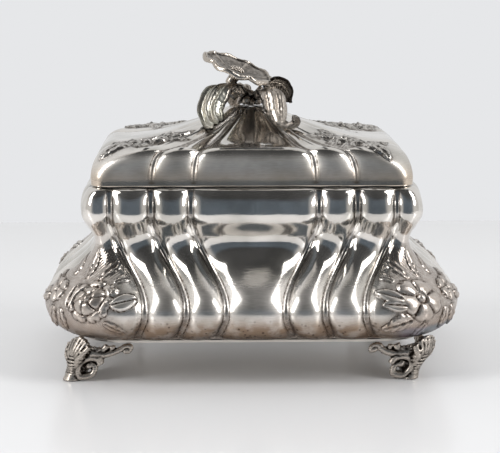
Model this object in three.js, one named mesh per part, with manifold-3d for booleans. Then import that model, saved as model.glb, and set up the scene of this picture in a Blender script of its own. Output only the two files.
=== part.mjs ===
// Silver sugar box: a lobed, S-sided bowl on four cast scroll feet, with a hinged
// tent-shaped lid that carries a cast spray of a blossom and leaves.
// Millimetres, +Z up, +X to the right of the front, front towards -Y.
// The origin is on the table, under the middle of the box.
import * as THREE from "three";
import { mergeVertices } from "three/addons/utils/BufferGeometryUtils.js";
import Module from "manifold-3d";

const wasm = await Module();
wasm.setup();

// ---------------------------------------------------------------- driving sizes
const BELLY_WIDTH = 160; // widest, across the lower bulge
const BELLY_DEPTH = 122;
const SHEET = 0.9; // silver sheet
const SEAM_GAP = 0.3; // between pieces that touch

// Heights of the bowl's S-shaped wall, and how far each height is set in from the belly.
const BASE_Z = 15.4;
const BELLY_Z = 27.5;
const WAIST_Z = 52;
const SHOULDER_Z = 63;
const RIM_Z = 72.6;
const BASE_INSET = 15.5;
const WAIST_INSET = 19.2;
const SHOULDER_INSET = 14.4;
const RIM_INSET = 19;
const RIM_LEDGE = 2.2; // flat ledge inside the rim that the lid rests on

// Flutes: where they stand at the rim, as shares of the rim's half width, and how far
// they swing towards the middle on their way down, and out again under the belly.
const FRONT_FLUTE_SHARES = [0.393, 0.634, 0.882];
const SIDE_FLUTE_SHARES = [0.44, 0.8];
const SWING_SHARE = 0.213;
const SWING_TOP_Z = 60;
const SWING_END_Z = 32;
const BASE_SWING_BACK = 4;
const FLUTE_DEPTH = 2.1;
const LOBE_ROLL = 6.5; // how far from its flute a lobe goes on rounding
const RIM_FLUTE_DEPTH = 0.5;
const CORNER_POWER = 2.35; // superellipse power of the corner lobes

// Lid: a short upright side, a rounded shoulder, then a hollow roof up to the apex.
const LID_SIDE = 2.2;
const LID_SHOULDER_Z = 87.2;
const LID_APEX_Z = 99.2;
const LID_SHOULDER_SHARE = 0.87; // outline at the shoulder, as a share of the rim outline
const LID_APEX_SHARE = 0.13;
const LID_HOLLOW = 1.8; // power of the roof's hollow curve
// the lid's own flutes, as shares of its half width at the rim and at the apex
const LID_FRONT_FLUTES = [0.375, 0.628];
const LID_FRONT_FLUTES_APEX = [0.43, 0.52];
const LID_SIDE_FLUTES = [0.56];
const LID_SIDE_FLUTES_APEX = [0.5];
const LID_FLUTE_DEPTH = 1.5;
const LID_ROLL = 6;

const BEZEL_RISE = 3.4; // how far the bezel stands up inside the lid
const BEZEL_DROP = 5;
const LID_BAND_HEIGHT = 3;
const LID_BAND = 0.8;

const PLATE = 0.9; // bottom plate
const PLATE_LIP = 0.7; // how far it shows past the wall

const HINGE_RADIUS = 1.7;
const HINGE_PIN_RADIUS = 0.75;
const HINGE_RUNNING_GAP = 0.08;
const HINGE_LENGTH = 38;
const HINGE_KNUCKLES = 5;
const HINGE_KNUCKLE_GAP = 0.3;
const HINGE_LID_GAP = 0.6;
const HINGE_RISE = 1; // axis above the lid's lower edge
const HINGE_LEAF = 0.8;
const HINGE_STRAP = 3;

const STUD_RADIUS = 1.25;
const STUD_HOLE_GAP = 0.25;
const STUD_DROP = 6;
const NUT_RADIUS = 3.1;
const NUT_HEIGHT = 2;
const WASHER_RADIUS = 4;
const WASHER = 0.6;

const FOOT_SPREAD = 1.5; // how far a foot's heel stands out past the wall's lower edge
const FOOT_LEAN = 4.5; // how far all four feet lean to the left
const FOOT_REACH = 20; // length of a foot's bracket along the underside

// --------------------------------------------------------------------- materials
const silver = (colour, roughness) =>
  new THREE.MeshStandardMaterial({ color: colour, roughness, metalness: 1 });
const POLISHED = silver(0xc9c3bb, 0.18);
const CAST = silver(0xa8a099, 0.35);
const INNER = silver(0xbfb8ae, 0.3);
const STEEL = silver(0x8f8b86, 0.3);

// ----------------------------------------------------------------------- helpers
const ease = (s) => (1 - Math.cos(Math.PI * Math.min(1, Math.max(0, s)))) / 2;
const mix = (a, b, s) => a + (b - a) * s;
const steps = (from, to, count) =>
  Array.from({ length: count + 1 }, (_, i) => mix(from, to, i / count));

function geometryOf(points, faces) {
  const geometry = new THREE.BufferGeometry();
  geometry.setAttribute("position", new THREE.Float32BufferAttribute(points.flat(), 3));
  geometry.setIndex(faces.flat());
  return geometry;
}

// Faces between closed rows of equal length; the last row joins the first when closed.
function skin(rows, closed) {
  const across = rows[0].length;
  const faces = [];
  const last = closed ? rows.length : rows.length - 1;
  for (let r = 0; r < last; r++) {
    const low = r * across;
    const high = ((r + 1) % rows.length) * across;
    for (let c = 0; c < across; c++) {
      const d = (c + 1) % across;
      faces.push([low + c, low + d, high + d], [low + c, high + d, high + c]);
    }
  }
  return faces;
}

// A ring-shaped shell: rows go up the outside and down the inside.
const ringSolid = (rows) => geometryOf(rows.flat(), skin(rows, true));

// A solid lofted through closed rows, with a fan at each end.
function loftSolid(rows) {
  const points = rows.flat();
  const faces = skin(rows, false);
  const across = rows[0].length;
  const middle = (row) => [0, 1, 2].map((k) => row.reduce((sum, p) => sum + p[k], 0) / across);
  const start = points.push(middle(rows[0])) - 1;
  const end = points.push(middle(rows[rows.length - 1])) - 1;
  const top = (rows.length - 1) * across;
  for (let c = 0; c < across; c++) {
    const d = (c + 1) % across;
    faces.push([start, d, c], [end, top + c, top + d]);
  }
  return geometryOf(points, faces);
}

function bareOf(geometry) {
  const bare = geometry.clone();
  bare.deleteAttribute("normal");
  bare.deleteAttribute("uv");
  return bare;
}

function manifoldOf(geometry) {
  const merged = mergeVertices(bareOf(geometry), 1e-4);
  return new wasm.Manifold(
    new wasm.Mesh({
      numProp: 3,
      vertProperties: merged.attributes.position.array,
      triVerts: new Uint32Array(merged.index.array),
    }),
  );
}

function geometryFrom(solid) {
  const mesh = solid.getMesh();
  const geometry = new THREE.BufferGeometry();
  geometry.setAttribute("position", new THREE.BufferAttribute(mesh.vertProperties, 3));
  geometry.setIndex(new THREE.BufferAttribute(mesh.triVerts, 1));
  return geometry;
}

const joined = (geometries) =>
  geometryFrom(geometries.map(manifoldOf).reduce((all, one) => all.add(one)));

// A bar swept along a curve. size(s) gives [half width, half height] of its oval section;
// "flat" is the direction that the half width lies along.
function bar(curve, size, { along = 12, around = 8, flat = new THREE.Vector3(0, 0, 1) } = {}) {
  const rows = steps(0, 1, along).map((s) => {
    const centre = curve.getPointAt(s);
    const tangent = curve.getTangentAt(s);
    const wide = flat.clone().addScaledVector(tangent, -flat.dot(tangent)).normalize();
    const high = new THREE.Vector3().crossVectors(tangent, wide);
    const [halfWide, halfHigh] = size(s);
    return Array.from({ length: around }, (_, i) => {
      const angle = (2 * Math.PI * i) / around;
      return centre
        .clone()
        .addScaledVector(wide, halfWide * Math.cos(angle))
        .addScaledVector(high, halfHigh * Math.sin(angle))
        .toArray();
    });
  });
  return loftSolid(rows);
}

// A round rod of one thickness, extruded along a curve.
const rod = (curve, radius, along) =>
  new THREE.ExtrudeGeometry(
    new THREE.Shape(
      steps(0, (5 / 3) * Math.PI, 5).map(
        (a) => new THREE.Vector2(radius * Math.cos(a), radius * Math.sin(a)),
      ),
    ),
    { steps: along, extrudePath: curve },
  );

const ACROSS = new THREE.Vector3(0, 1, 0);
const spline = (points) =>
  new THREE.CatmullRomCurve3(points.map((p) => new THREE.Vector3(...p)), false, "centripetal");

// ------------------------------------------------------------- outlines in plan
// A plan is one level of a lobed wall: its half widths, the flutes' places measured
// from the middle of each face, the corner's half axes and how deep the flutes cut.
// A station is a point on it with its outward direction and the flute's depth there.
const along = (from, to, shares, place) => shares.map((s) => place(mix(from, to, s)));

function quarterStations(plan, detail) {
  const { halfX, halfY, front, side, corner, power } = plan;
  const [lastX, lastY] = [front[front.length - 1], side[side.length - 1]];
  const onFront = (x) => ({ x, y: -halfY, nx: 0, ny: -1 });
  const onSide = (y) => ({ x: halfX, y, nx: 1, ny: 0 });
  const near = detail.edge ? [detail.edge] : [];
  const far = near.map((e) => 1 - e);
  const shares = (count) => [0, ...near, ...steps(0, 1, count).slice(1, -1), ...far];
  const arc = (s) => {
    const angle = (s * Math.PI) / 2;
    const ex = Math.pow(Math.sin(angle), 2 / power);
    const ey = Math.pow(Math.cos(angle), 2 / power);
    const [nx, ny] = [Math.pow(ex, power - 1) / corner[0], -Math.pow(ey, power - 1) / corner[1]];
    const length = Math.hypot(nx, ny);
    return {
      x: halfX - corner[0] * (1 - ex),
      y: -halfY + corner[1] * (1 - ey),
      nx: nx / length,
      ny: ny / length,
    };
  };
  const lobes = [along(0, front[0], [0, 0.5, ...far], onFront)];
  for (let i = 0; i + 1 < front.length; i++) {
    lobes.push(along(front[i], front[i + 1], shares(detail.lobe), onFront));
  }
  lobes.push([
    ...(detail.shoulder ? along(lastX, halfX - corner[0], [0, ...near, 0.5], onFront) : []),
    ...steps(0, 1, detail.corner).map(arc),
    ...(detail.shoulder ? along(corner[1] - halfY, -lastY, [0.5, ...far], onSide) : []),
  ]);
  if (!detail.shoulder) lobes[lobes.length - 1].pop();
  for (let i = side.length - 1; i > 0; i--) {
    lobes.push(along(-side[i], -side[i - 1], shares(detail.lobe), onSide));
  }
  lobes.push(along(-side[0], 0, [0, ...near, 0.5, 1], onSide));
  return lobes.flatMap((lobe, i) => withDepths(lobe, lobes[i + 1], i === 0, plan));
}

// The flute's depth at each station of a lobe: a roll that rises from its two flutes.
function withDepths(lobe, next, isFirst, { cut, roll }) {
  const run = [0];
  const all = next ? [...lobe, next[0]] : lobe;
  for (let i = 1; i < all.length; i++) {
    run.push(run[i - 1] + Math.hypot(all[i].x - all[i - 1].x, all[i].y - all[i - 1].y));
  }
  const total = run[all.length - 1];
  return lobe.map((station, i) => {
    const fromStart = isFirst ? Infinity : run[i];
    const fromEnd = next ? total - run[i] : Infinity;
    const s = Math.min(Math.min(fromStart, fromEnd) / roll, 1);
    return { ...station, depth: cut * (1 - Math.sqrt(1 - (1 - s) * (1 - s))) };
  });
}

// The whole plan: the quarter mirrored four ways, counter-clockwise from above.
function stations(plan, detail) {
  const q = quarterStations(plan, detail);
  const flip = (list, x, y) =>
    list.map((p) => ({ ...p, x: p.x * x, y: p.y * y, nx: p.nx * x, ny: p.ny * y }));
  return [
    ...q,
    ...flip(q, 1, -1).reverse().slice(1),
    ...flip(q, -1, -1).slice(1),
    ...flip(q, -1, 1).reverse().slice(1, -1),
  ];
}

// A level of a wall, cut along its own outward direction [out, up] at height z.
const level = (list, z, out = 1, up = 0) =>
  list.map((p) => [p.x - p.nx * p.depth * out, p.y - p.ny * p.depth * out, z - p.depth * up]);

const BOWL_DETAIL = { edge: 0.12, lobe: 2, corner: 7 };
const LID_DETAIL = { edge: 0.12, lobe: 2, corner: 7, shoulder: true };

// --------------------------------------------------------------------- bowl wall
// The wall's profile as [inset from the belly, height], in four stretches.
const BELOW_BELLY = (s) => {
  const a = (s * Math.PI) / 2;
  return [BASE_INSET * (1 - Math.sin(a)), mix(BASE_Z, BELLY_Z, 1 - Math.cos(a))];
};
const ABOVE_BELLY = (s) => [WAIST_INSET * ease(s), mix(BELLY_Z, WAIST_Z, s)];
const ABOVE_WAIST = (s) => [
  mix(WAIST_INSET, SHOULDER_INSET, ease(s)),
  mix(WAIST_Z, SHOULDER_Z, s),
];
const ABOVE_SHOULDER = (s) => {
  const a = (s * Math.PI) / 2;
  return [
    mix(SHOULDER_INSET, RIM_INSET, 1 - Math.cos(a)),
    mix(SHOULDER_Z, RIM_Z, Math.sin(a)),
  ];
};

// A stretch's point and its outward normal in [outwards, up].
function wallPoint(stretch, s) {
  const [inset, z] = stretch(s);
  const small = 1e-3;
  const [a, b] = [stretch(Math.max(0, s - small)), stretch(Math.min(1, s + small))];
  const out = new THREE.Vector2(b[1] - a[1], b[0] - a[0]).normalize();
  return { inset, z, out: out.x, up: out.y };
}

const RIM_HALF_X = BELLY_WIDTH / 2 - RIM_INSET;
const RIM_HALF_Y = BELLY_DEPTH / 2 - RIM_INSET;
const FRONT_FLUTES = FRONT_FLUTE_SHARES.map((share) => share * RIM_HALF_X);
const SIDE_FLUTES = SIDE_FLUTE_SHARES.map((share) => share * RIM_HALF_Y);
const RIM_CORNER = [RIM_HALF_X - FRONT_FLUTES[2], RIM_HALF_Y - SIDE_FLUTES[1]];

// Where the flutes stand at a height, on the front and on the sides.
function flutePlaces(z) {
  const down = SWING_SHARE * ease((SWING_TOP_Z - z) / (SWING_TOP_Z - SWING_END_Z));
  const under = Math.max(0, (BELLY_Z - z) / (BELLY_Z - BASE_Z));
  const back = BASE_SWING_BACK * under * under;
  return {
    front: FRONT_FLUTES.map((x) => x - RIM_HALF_X * down + back),
    side: SIDE_FLUTES.map((y) => y - 1.25 * RIM_HALF_Y * down + back),
  };
}

// How deep the flutes are at a height: full on the wall, fading at the rim and base.
function fluteDepth(z) {
  const rim = Math.min(1, (RIM_Z - z) / 4);
  const base = Math.min(1, (z - BASE_Z) / 5);
  return mix(RIM_FLUTE_DEPTH, FLUTE_DEPTH, Math.sqrt(Math.max(0, Math.min(rim, base))));
}

function bowlRow({ inset, z, out, up }, inwards) {
  const halfX = BELLY_WIDTH / 2 - inset - inwards * out;
  const halfY = BELLY_DEPTH / 2 - inset - inwards * out;
  const { front, side } = flutePlaces(z);
  const plan = {
    halfX,
    halfY,
    front,
    side,
    corner: [halfX - front[front.length - 1], halfY - side[side.length - 1]],
    power: CORNER_POWER,
    cut: fluteDepth(z),
    roll: LOBE_ROLL,
  };
  return level(stations(plan, BOWL_DETAIL), z - inwards * up, out, up);
}

function bowlShell() {
  const outside = [
    ...[0, 0.4, 0.75].map((s) => wallPoint(BELOW_BELLY, s)),
    ...[0, 0.25, 0.5, 0.75].map((s) => wallPoint(ABOVE_BELLY, s)),
    ...[0, 0.5].map((s) => wallPoint(ABOVE_WAIST, s)),
    ...[0, 0.5, 1].map((s) => wallPoint(ABOVE_SHOULDER, s)),
  ];
  const inside = [
    wallPoint(ABOVE_SHOULDER, 0.98),
    wallPoint(ABOVE_SHOULDER, 0.3),
    wallPoint(ABOVE_WAIST, 0),
    wallPoint(ABOVE_BELLY, 0.55),
    wallPoint(ABOVE_BELLY, 0),
    wallPoint(BELOW_BELLY, 0.4),
    wallPoint(BELOW_BELLY, 0.04),
  ];
  return ringSolid([
    ...outside.map((p) => bowlRow(p, 0)),
    ledgeLevel(RIM_Z),
    ledgeLevel(RIM_Z - SHEET),
    ...inside.map((p) => bowlRow(p, SHEET)),
  ]);
}

// The plain rim, with no flutes, that the rim's fittings share: a rounded rectangle.
const RIM_DETAIL = { lobe: 1, corner: 6, shoulder: true };

function rimLevel(inset, z) {
  const plan = {
    halfX: BELLY_WIDTH / 2 - inset,
    halfY: BELLY_DEPTH / 2 - inset,
    front: [FRONT_FLUTES[0]],
    side: [SIDE_FLUTES[0]],
    corner: RIM_CORNER.map((half) => half - 0.8 * (inset - RIM_INSET)),
    power: CORNER_POWER,
    cut: 0,
    roll: 1,
  };
  return level(stations(plan, RIM_DETAIL), z);
}

// The same rim with the wall's own stations, for the ledge that the wall turns in to.
function ledgeLevel(z) {
  const halfX = RIM_HALF_X - RIM_LEDGE;
  const halfY = RIM_HALF_Y - RIM_LEDGE;
  const plan = {
    halfX,
    halfY,
    front: FRONT_FLUTES,
    side: SIDE_FLUTES,
    corner: [halfX - FRONT_FLUTES[2], halfY - SIDE_FLUTES[1]],
    power: CORNER_POWER,
    cut: 0,
    roll: 1,
  };
  return level(stations(plan, BOWL_DETAIL), z);
}

const upright = (inset, wall, low, high) =>
  ringSolid([
    rimLevel(inset, low),
    rimLevel(inset, high),
    rimLevel(inset + wall, high),
    rimLevel(inset + wall, low),
  ]);

const BEZEL_INSET = RIM_INSET + RIM_LEDGE + SEAM_GAP;
const bezel = () => upright(BEZEL_INSET, SHEET, RIM_Z - BEZEL_DROP, RIM_Z + BEZEL_RISE);

function bottomPlate() {
  const halfX = BELLY_WIDTH / 2 - BASE_INSET + PLATE_LIP;
  const halfY = BELLY_DEPTH / 2 - BASE_INSET + PLATE_LIP;
  const { front, side } = flutePlaces(BASE_Z);
  const corner = [halfX - front[2], halfY - side[1]];
  const plan = { halfX, halfY, front, side, corner, power: CORNER_POWER, cut: 0, roll: 1 };
  const list = stations(plan, { lobe: 1, corner: 7 });
  const top = BASE_Z - SEAM_GAP;
  return loftSolid([level(list, top - PLATE), level(list, top)]);
}

// --------------------------------------------------------------------------- lid
const LID_Z = RIM_Z + SEAM_GAP;

// The lid's profile as [share of the rim outline, height].
const LID_RISE = (s) => {
  const a = (s * Math.PI) / 2;
  return [
    1 - (1 - LID_SHOULDER_SHARE) * (1 - Math.cos(a)),
    mix(LID_Z + LID_SIDE, LID_SHOULDER_Z, Math.sin(a)),
  ];
};
const LID_ROOF = (s) => [
  mix(LID_SHOULDER_SHARE, LID_APEX_SHARE, s),
  mix(LID_SHOULDER_Z, LID_APEX_Z, Math.pow(s, LID_HOLLOW)),
];

// A stretch of the lid's profile at s, with its outward direction.
function lidPoint(stretch, s) {
  const small = 1e-3;
  const [share, z] = stretch(s);
  const [a, b] = [stretch(Math.max(0, s - small)), stretch(Math.min(1, s + small))];
  const out = new THREE.Vector2(b[1] - a[1], (a[0] - b[0]) * RIM_HALF_Y).normalize();
  return { share, z, out: out.x, up: out.y };
}

function lidRow({ share, z, out, up }, inwards, fade = 1) {
  const toApex = (1 - share) / (1 - LID_APEX_SHARE);
  const halfX = RIM_HALF_X * share - inwards * out;
  const halfY = RIM_HALF_Y * share - inwards * out;
  const places = (rim, apex, half) => rim.map((r, i) => mix(r, apex[i], toApex * toApex) * half);
  const front = places(LID_FRONT_FLUTES, LID_FRONT_FLUTES_APEX, halfX);
  const side = places(LID_SIDE_FLUTES, LID_SIDE_FLUTES_APEX, halfY);
  const plan = {
    halfX,
    halfY,
    front,
    side,
    corner: [
      mix(RIM_CORNER[0] - inwards * out, 0.6 * (halfX - front[1]), toApex),
      mix(RIM_CORNER[1] - inwards * out, 0.6 * (halfY - side[0]), toApex),
    ],
    power: CORNER_POWER,
    cut: LID_FLUTE_DEPTH * fade * mix(0.45, 1, share),
    roll: LID_ROLL * mix(0.2, 1, share),
  };
  return level(stations(plan, LID_DETAIL), z - inwards * up, out, up);
}

function stationRing(radius, z, count) {
  return Array.from({ length: count }, (_, i) => {
    const angle = (2 * Math.PI * i) / count - Math.PI / 2;
    return [radius * Math.cos(angle), radius * Math.sin(angle), z];
  });
}

function lidShell() {
  const rim = { share: 1, z: LID_Z, out: 1, up: 0 };
  const sideTop = { share: 1, z: LID_Z + LID_SIDE, out: 1, up: 0 };
  const outside = [
    lidRow(rim, 0, 0),
    lidRow(sideTop, 0, 0),
    ...[0.45, 0.8].map((s) => lidRow(lidPoint(LID_RISE, s), 0)),
    ...[0, 0.2, 0.45, 0.75, 1].map((s) => lidRow(lidPoint(LID_ROOF, s), 0)),
  ];
  const hole = STUD_RADIUS + STUD_HOLE_GAP;
  const count = outside[0].length;
  const inside = [
    ...[1, 0.6, 0.25, 0].map((s) => lidRow(lidPoint(LID_ROOF, s), SHEET)),
    lidRow(lidPoint(LID_RISE, 0.6), SHEET),
    lidRow(sideTop, SHEET, 0),
    lidRow(rim, SHEET, 0),
  ];
  return ringSolid([
    ...outside,
    stationRing(hole, LID_APEX_Z, count),
    stationRing(hole, LID_APEX_Z - SHEET, count),
    ...inside,
  ]);
}

const LID_BAND_INSET = RIM_INSET + SHEET + 1.5 * SEAM_GAP;
const lidBand = () => upright(LID_BAND_INSET, LID_BAND, LID_Z, LID_Z + LID_BAND_HEIGHT);

// ------------------------------------------------------------------------- hinge
const HINGE_Y = RIM_HALF_Y + HINGE_LID_GAP + HINGE_RADIUS;
const HINGE_Z = LID_Z + HINGE_RISE;
const HINGE_PITCH = HINGE_LENGTH / HINGE_KNUCKLES;

// A tube along X, with a straight bore.
function tube(outer, bore, length) {
  const profile = [
    [bore, -length / 2],
    [outer, -length / 2],
    [outer, length / 2],
    [bore, length / 2],
    [bore, -length / 2],
  ].map(([r, h]) => new THREE.Vector2(r, h));
  const geometry = new THREE.LatheGeometry(profile, 14);
  geometry.rotateZ(-Math.PI / 2);
  return geometry;
}

// A bar of straight stretches along X whose section is a thick bent line in [y, z].
function strap(fromX, toX, line, thickness) {
  const offset = (k, sign) => {
    const [p, q] = [line[Math.max(0, k - 1)], line[Math.min(line.length - 1, k + 1)]];
    const [dy, dz] = [q[0] - p[0], q[1] - p[1]];
    const t = (sign * thickness) / 2 / Math.hypot(dy, dz);
    return [line[k][0] + dz * t, line[k][1] - dy * t];
  };
  const loop = [
    ...line.map((_, k) => offset(k, 1)),
    ...line.map((_, k) => offset(k, -1)).reverse(),
  ];
  const rows = [fromX, toX].map((x) => loop.map(([y, z]) => [x, y, z]));
  return loftSolid(rows);
}

const knuckleSpan = (index) => {
  const middle = (index - (HINGE_KNUCKLES - 1) / 2) * HINGE_PITCH;
  const half = (HINGE_PITCH - HINGE_KNUCKLE_GAP) / 2;
  return [middle - half, middle + half];
};

// One leaf of the hinge: every other knuckle, tabs beside them and a strap that joins
// the tabs and lies on the wall, following the bent line given in [y, z].
function hingeLeaf(first, line) {
  const pieces = [];
  const spans = [];
  for (let i = first; i < HINGE_KNUCKLES; i += 2) {
    const [from, to] = knuckleSpan(i);
    const barrel = tube(HINGE_RADIUS, HINGE_PIN_RADIUS + HINGE_RUNNING_GAP, to - from);
    barrel.translate((from + to) / 2, HINGE_Y, HINGE_Z);
    const tab = manifoldOf(strap(from, to, line.slice(0, 2), HINGE_LEAF));
    const bore = new THREE.CylinderGeometry(HINGE_RADIUS * 0.8, HINGE_RADIUS * 0.8, 99, 14);
    bore.rotateZ(Math.PI / 2);
    bore.translate(0, HINGE_Y, HINGE_Z);
    pieces.push(barrel, geometryFrom(tab.subtract(manifoldOf(bore))));
    spans.push(from, to);
  }
  pieces.push(strap(Math.min(...spans), Math.max(...spans), line.slice(1), HINGE_LEAF));
  return joined(pieces);
}

// The bowl's strap goes down over the shoulder.
function bowlLeaf() {
  const clear = SEAM_GAP + HINGE_LEAF / 2;
  const wallY = (z) => {
    const up = (z - SHOULDER_Z) / (RIM_Z - SHOULDER_Z);
    const inset = mix(SHOULDER_INSET, RIM_INSET, 1 - Math.sqrt(1 - up * up));
    return BELLY_DEPTH / 2 - inset;
  };
  const top = HINGE_Z - HINGE_RADIUS - SEAM_GAP - HINGE_LEAF / 2;
  const low = top - HINGE_STRAP;
  return hingeLeaf(0, [
    [HINGE_Y + 0.9, HINGE_Z - 0.4],
    [wallY(top) + clear + 0.9, top],
    [wallY(low) + clear + 0.2, low],
  ]);
}

// The lid's strap goes up behind its back wall.
function lidLeaf() {
  const y = RIM_HALF_Y + SEAM_GAP + HINGE_LEAF / 2;
  const low = HINGE_Z + HINGE_RADIUS + SEAM_GAP;
  return hingeLeaf(1, [
    [y, HINGE_Z],
    [y, low],
    [y, low + HINGE_STRAP],
  ]);
}

function hingePin() {
  const geometry = new THREE.CylinderGeometry(HINGE_PIN_RADIUS, HINGE_PIN_RADIUS, HINGE_LENGTH, 14);
  geometry.rotateZ(Math.PI / 2);
  geometry.translate(0, HINGE_Y, HINGE_Z);
  return geometry;
}

// -------------------------------------------------------------------------- feet
// A foot in its own frame: the heel stands at the origin, u runs inwards along a face of
// the box from the corner, z up. Both faces carry the same scroll and bracket, so they are
// made once and mirrored about the diagonal.
const FOOT_TOP_Z = BASE_Z - SEAM_GAP - PLATE - SEAM_GAP;
const SCROLL_RADIUS = 0.27 * FOOT_TOP_Z;

function footWing() {
  const centreU = 5.6;
  const centreZ = SCROLL_RADIUS + 1;
  const turn = (angle, radius) => [
    centreU + radius * Math.cos(angle),
    0.4,
    centreZ + radius * Math.sin(angle),
  ];
  const scroll = spline([
    turn(0.4, SCROLL_RADIUS * 1.4),
    ...steps(0.25 * Math.PI, 1.5 * Math.PI, 6).map((a) => turn(a, SCROLL_RADIUS)),
    turn(1.85 * Math.PI, SCROLL_RADIUS * 0.72),
  ]);
  const [reach, top] = [FOOT_REACH, FOOT_TOP_Z];
  const bracket = spline([
    [3.4, 0.6, top * 0.6],
    [reach * 0.42, 0.6, top * 0.66],
    [reach * 0.68, 0.6, top * 0.84],
    [reach * 0.9, 0.6, top - 1.1],
    [reach, 0.6, top * 0.84],
    [reach * 0.95, 0.6, top * 0.72],
  ]);
  const post = spline([
    [reach * 0.55, 0.6, top * 0.74],
    [reach * 0.57, 0.6, top],
  ]);
  return [
    bar(scroll, (s) => [1.5, mix(0.85, 1.25, s)], { along: 10, around: 6, flat: ACROSS }),
    rod(bracket, 1.05, 7),
    rod(post, 0.9, 1),
  ];
}

// The leg: a ridged blade across the corner that flares towards the underside.
function footLeg() {
  const levels = [
    { z: 0, lean: 1.2, half: 2.8, thick: 2.2 },
    { z: 0.16 * FOOT_TOP_Z, lean: 1.5, half: 3.2, thick: 2.2 },
    { z: 0.46 * FOOT_TOP_Z, lean: 0.2, half: 3.6, thick: 1.9 },
    { z: 0.72 * FOOT_TOP_Z, lean: -0.6, half: 5.4, thick: 2 },
    { z: FOOT_TOP_Z, lean: -0.4, half: 7, thick: 2.4 },
  ];
  const rows = levels.map(({ z, lean, half, thick }) => {
    const section = [
      [half, 0],
      [half * 0.45, thick * 0.5],
      [0, thick],
      [-half * 0.45, thick * 0.5],
      [-half, 0],
      [-half * 0.5, -thick],
      [half * 0.5, -thick],
    ];
    const place = ([across, out]) => {
      const away = lean + out - 1;
      return [
        (across - away) * Math.SQRT1_2 + 2,
        (-across - away) * Math.SQRT1_2 + 2,
        z,
      ];
    };
    return section.map(place).reverse();
  });
  return loftSolid(rows);
}

// Moves every point and, where the move mirrors the piece, turns its faces round.
function moved(geometry, move, mirrors) {
  const copy = mergeVertices(bareOf(geometry), 1e-4);
  const at = copy.attributes.position;
  const point = new THREE.Vector3();
  for (let i = 0; i < at.count; i++) {
    move(point.fromBufferAttribute(at, i));
    at.setXYZ(i, point.x, point.y, point.z);
  }
  const index = copy.index.array;
  for (let i = 0; mirrors && i < index.length; i += 3) {
    [index[i + 1], index[i + 2]] = [index[i + 2], index[i + 1]];
  }
  return copy;
}

function foot() {
  const wing = footWing();
  const across = wing.map((g) => moved(g, (p) => p.set(p.y, p.x, p.z), true));
  return joined([footLeg(), ...wing, ...across]);
}

const FOOT_X = BELLY_WIDTH / 2 - BASE_INSET + FOOT_SPREAD;
const FOOT_Y = BELLY_DEPTH / 2 - BASE_INSET + FOOT_SPREAD;

// A foot at the corner on side [x, y], leaning to the left from its top down.
const footAt = (geometry, x, y) =>
  moved(
    geometry,
    (p) =>
      p.set(
        x * (FOOT_X - p.x) - FOOT_LEAN * (1 - p.z / FOOT_TOP_Z),
        y * (FOOT_Y - p.y),
        p.z,
      ),
    x * y < 0,
  );

// ------------------------------------------------------------------------ finial
const FINIAL_Z = LID_APEX_Z + SEAM_GAP;
const BLOSSOM_RADIUS = 15;
const BLOSSOM_PETALS = 5;
const BLOSSOM_SHEET = 1;
const BLOSSOM_CENTRE = new THREE.Vector3(-5.6, 0, LID_APEX_Z + 12.6);
const BLOSSOM_TILT = new THREE.Euler(0.16, 0.37, 0, "XYZ");

// The roof's height under a point, for pieces that hang over it.
function roofZ(x, y) {
  const share = Math.max(Math.abs(x) / RIM_HALF_X, Math.abs(y) / RIM_HALF_Y, LID_APEX_SHARE);
  const s = (LID_SHOULDER_SHARE - share) / (LID_SHOULDER_SHARE - LID_APEX_SHARE);
  return mix(LID_SHOULDER_Z, LID_APEX_Z, Math.pow(Math.max(0, s), LID_HOLLOW));
}

// A sheet of metal through a grid of points, thickened downwards along "down".
function sheetSolid(grid, thickness) {
  const [rows, across] = [grid.length, grid[0].length];
  const at = (r, c) => grid[Math.min(rows - 1, Math.max(0, r))][Math.min(across - 1, Math.max(0, c))];
  const normal = (r, c) => {
    const along = at(r + 1, c).clone().sub(at(r - 1, c));
    const over = at(r, c + 1).clone().sub(at(r, c - 1));
    return new THREE.Vector3().crossVectors(over, along).normalize();
  };
  const side = (sign) =>
    grid.map((line, r) =>
      line.map((p, c) => p.clone().addScaledVector(normal(r, c), (sign * thickness) / 2).toArray()),
    );
  const [top, under] = [side(1), side(-1)];
  return loftSolid(top.map((line, r) => [...line, ...[...under[r]].reverse()]));
}

function blossom() {
  const rings = [0.12, 0.4, 0.7, 0.9, 1];
  const around = BLOSSOM_PETALS * 6;
  const place = (share, angle, sign) => {
    const petal = Math.abs(Math.sin((angle * BLOSSOM_PETALS) / 2));
    const radius = BLOSSOM_RADIUS * share * mix(1, 0.84 + 0.16 * Math.pow(petal, 0.6), share);
    const cup = 2.6 * share * share + 0.9 * share * petal - 1.2 * Math.pow(share, 6);
    return [radius * Math.cos(angle), radius * Math.sin(angle), cup + (sign * BLOSSOM_SHEET) / 2];
  };
  const ring = (share, sign) =>
    Array.from({ length: around }, (_, i) => place(share, (2 * Math.PI * i) / around, sign));
  const rows = [
    ...rings.map((share) => ring(share, -1)),
    ...[...rings].reverse().map((share) => ring(share, 1)),
  ];
  return loftSolid(rows);
}

function placeBlossom(geometry) {
  geometry.applyMatrix4(
    new THREE.Matrix4().compose(
      BLOSSOM_CENTRE,
      new THREE.Quaternion().setFromEuler(BLOSSOM_TILT),
      new THREE.Vector3(1, 1, 1),
    ),
  );
  return geometry;
}

function stamens() {
  const radius = 2.6;
  const low = BLOSSOM_SHEET / 2 + SEAM_GAP + 0.35;
  const profile = [
    [0, low],
    [radius, low],
    [radius * 0.9, low + 0.9],
    [radius * 0.5, low + 1.6],
    [0, low + 1.8],
  ].map(([r, h]) => new THREE.Vector2(r, h));
  const geometry = new THREE.LatheGeometry(profile, 12);
  geometry.rotateX(Math.PI / 2);
  return placeBlossom(geometry);
}

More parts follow.
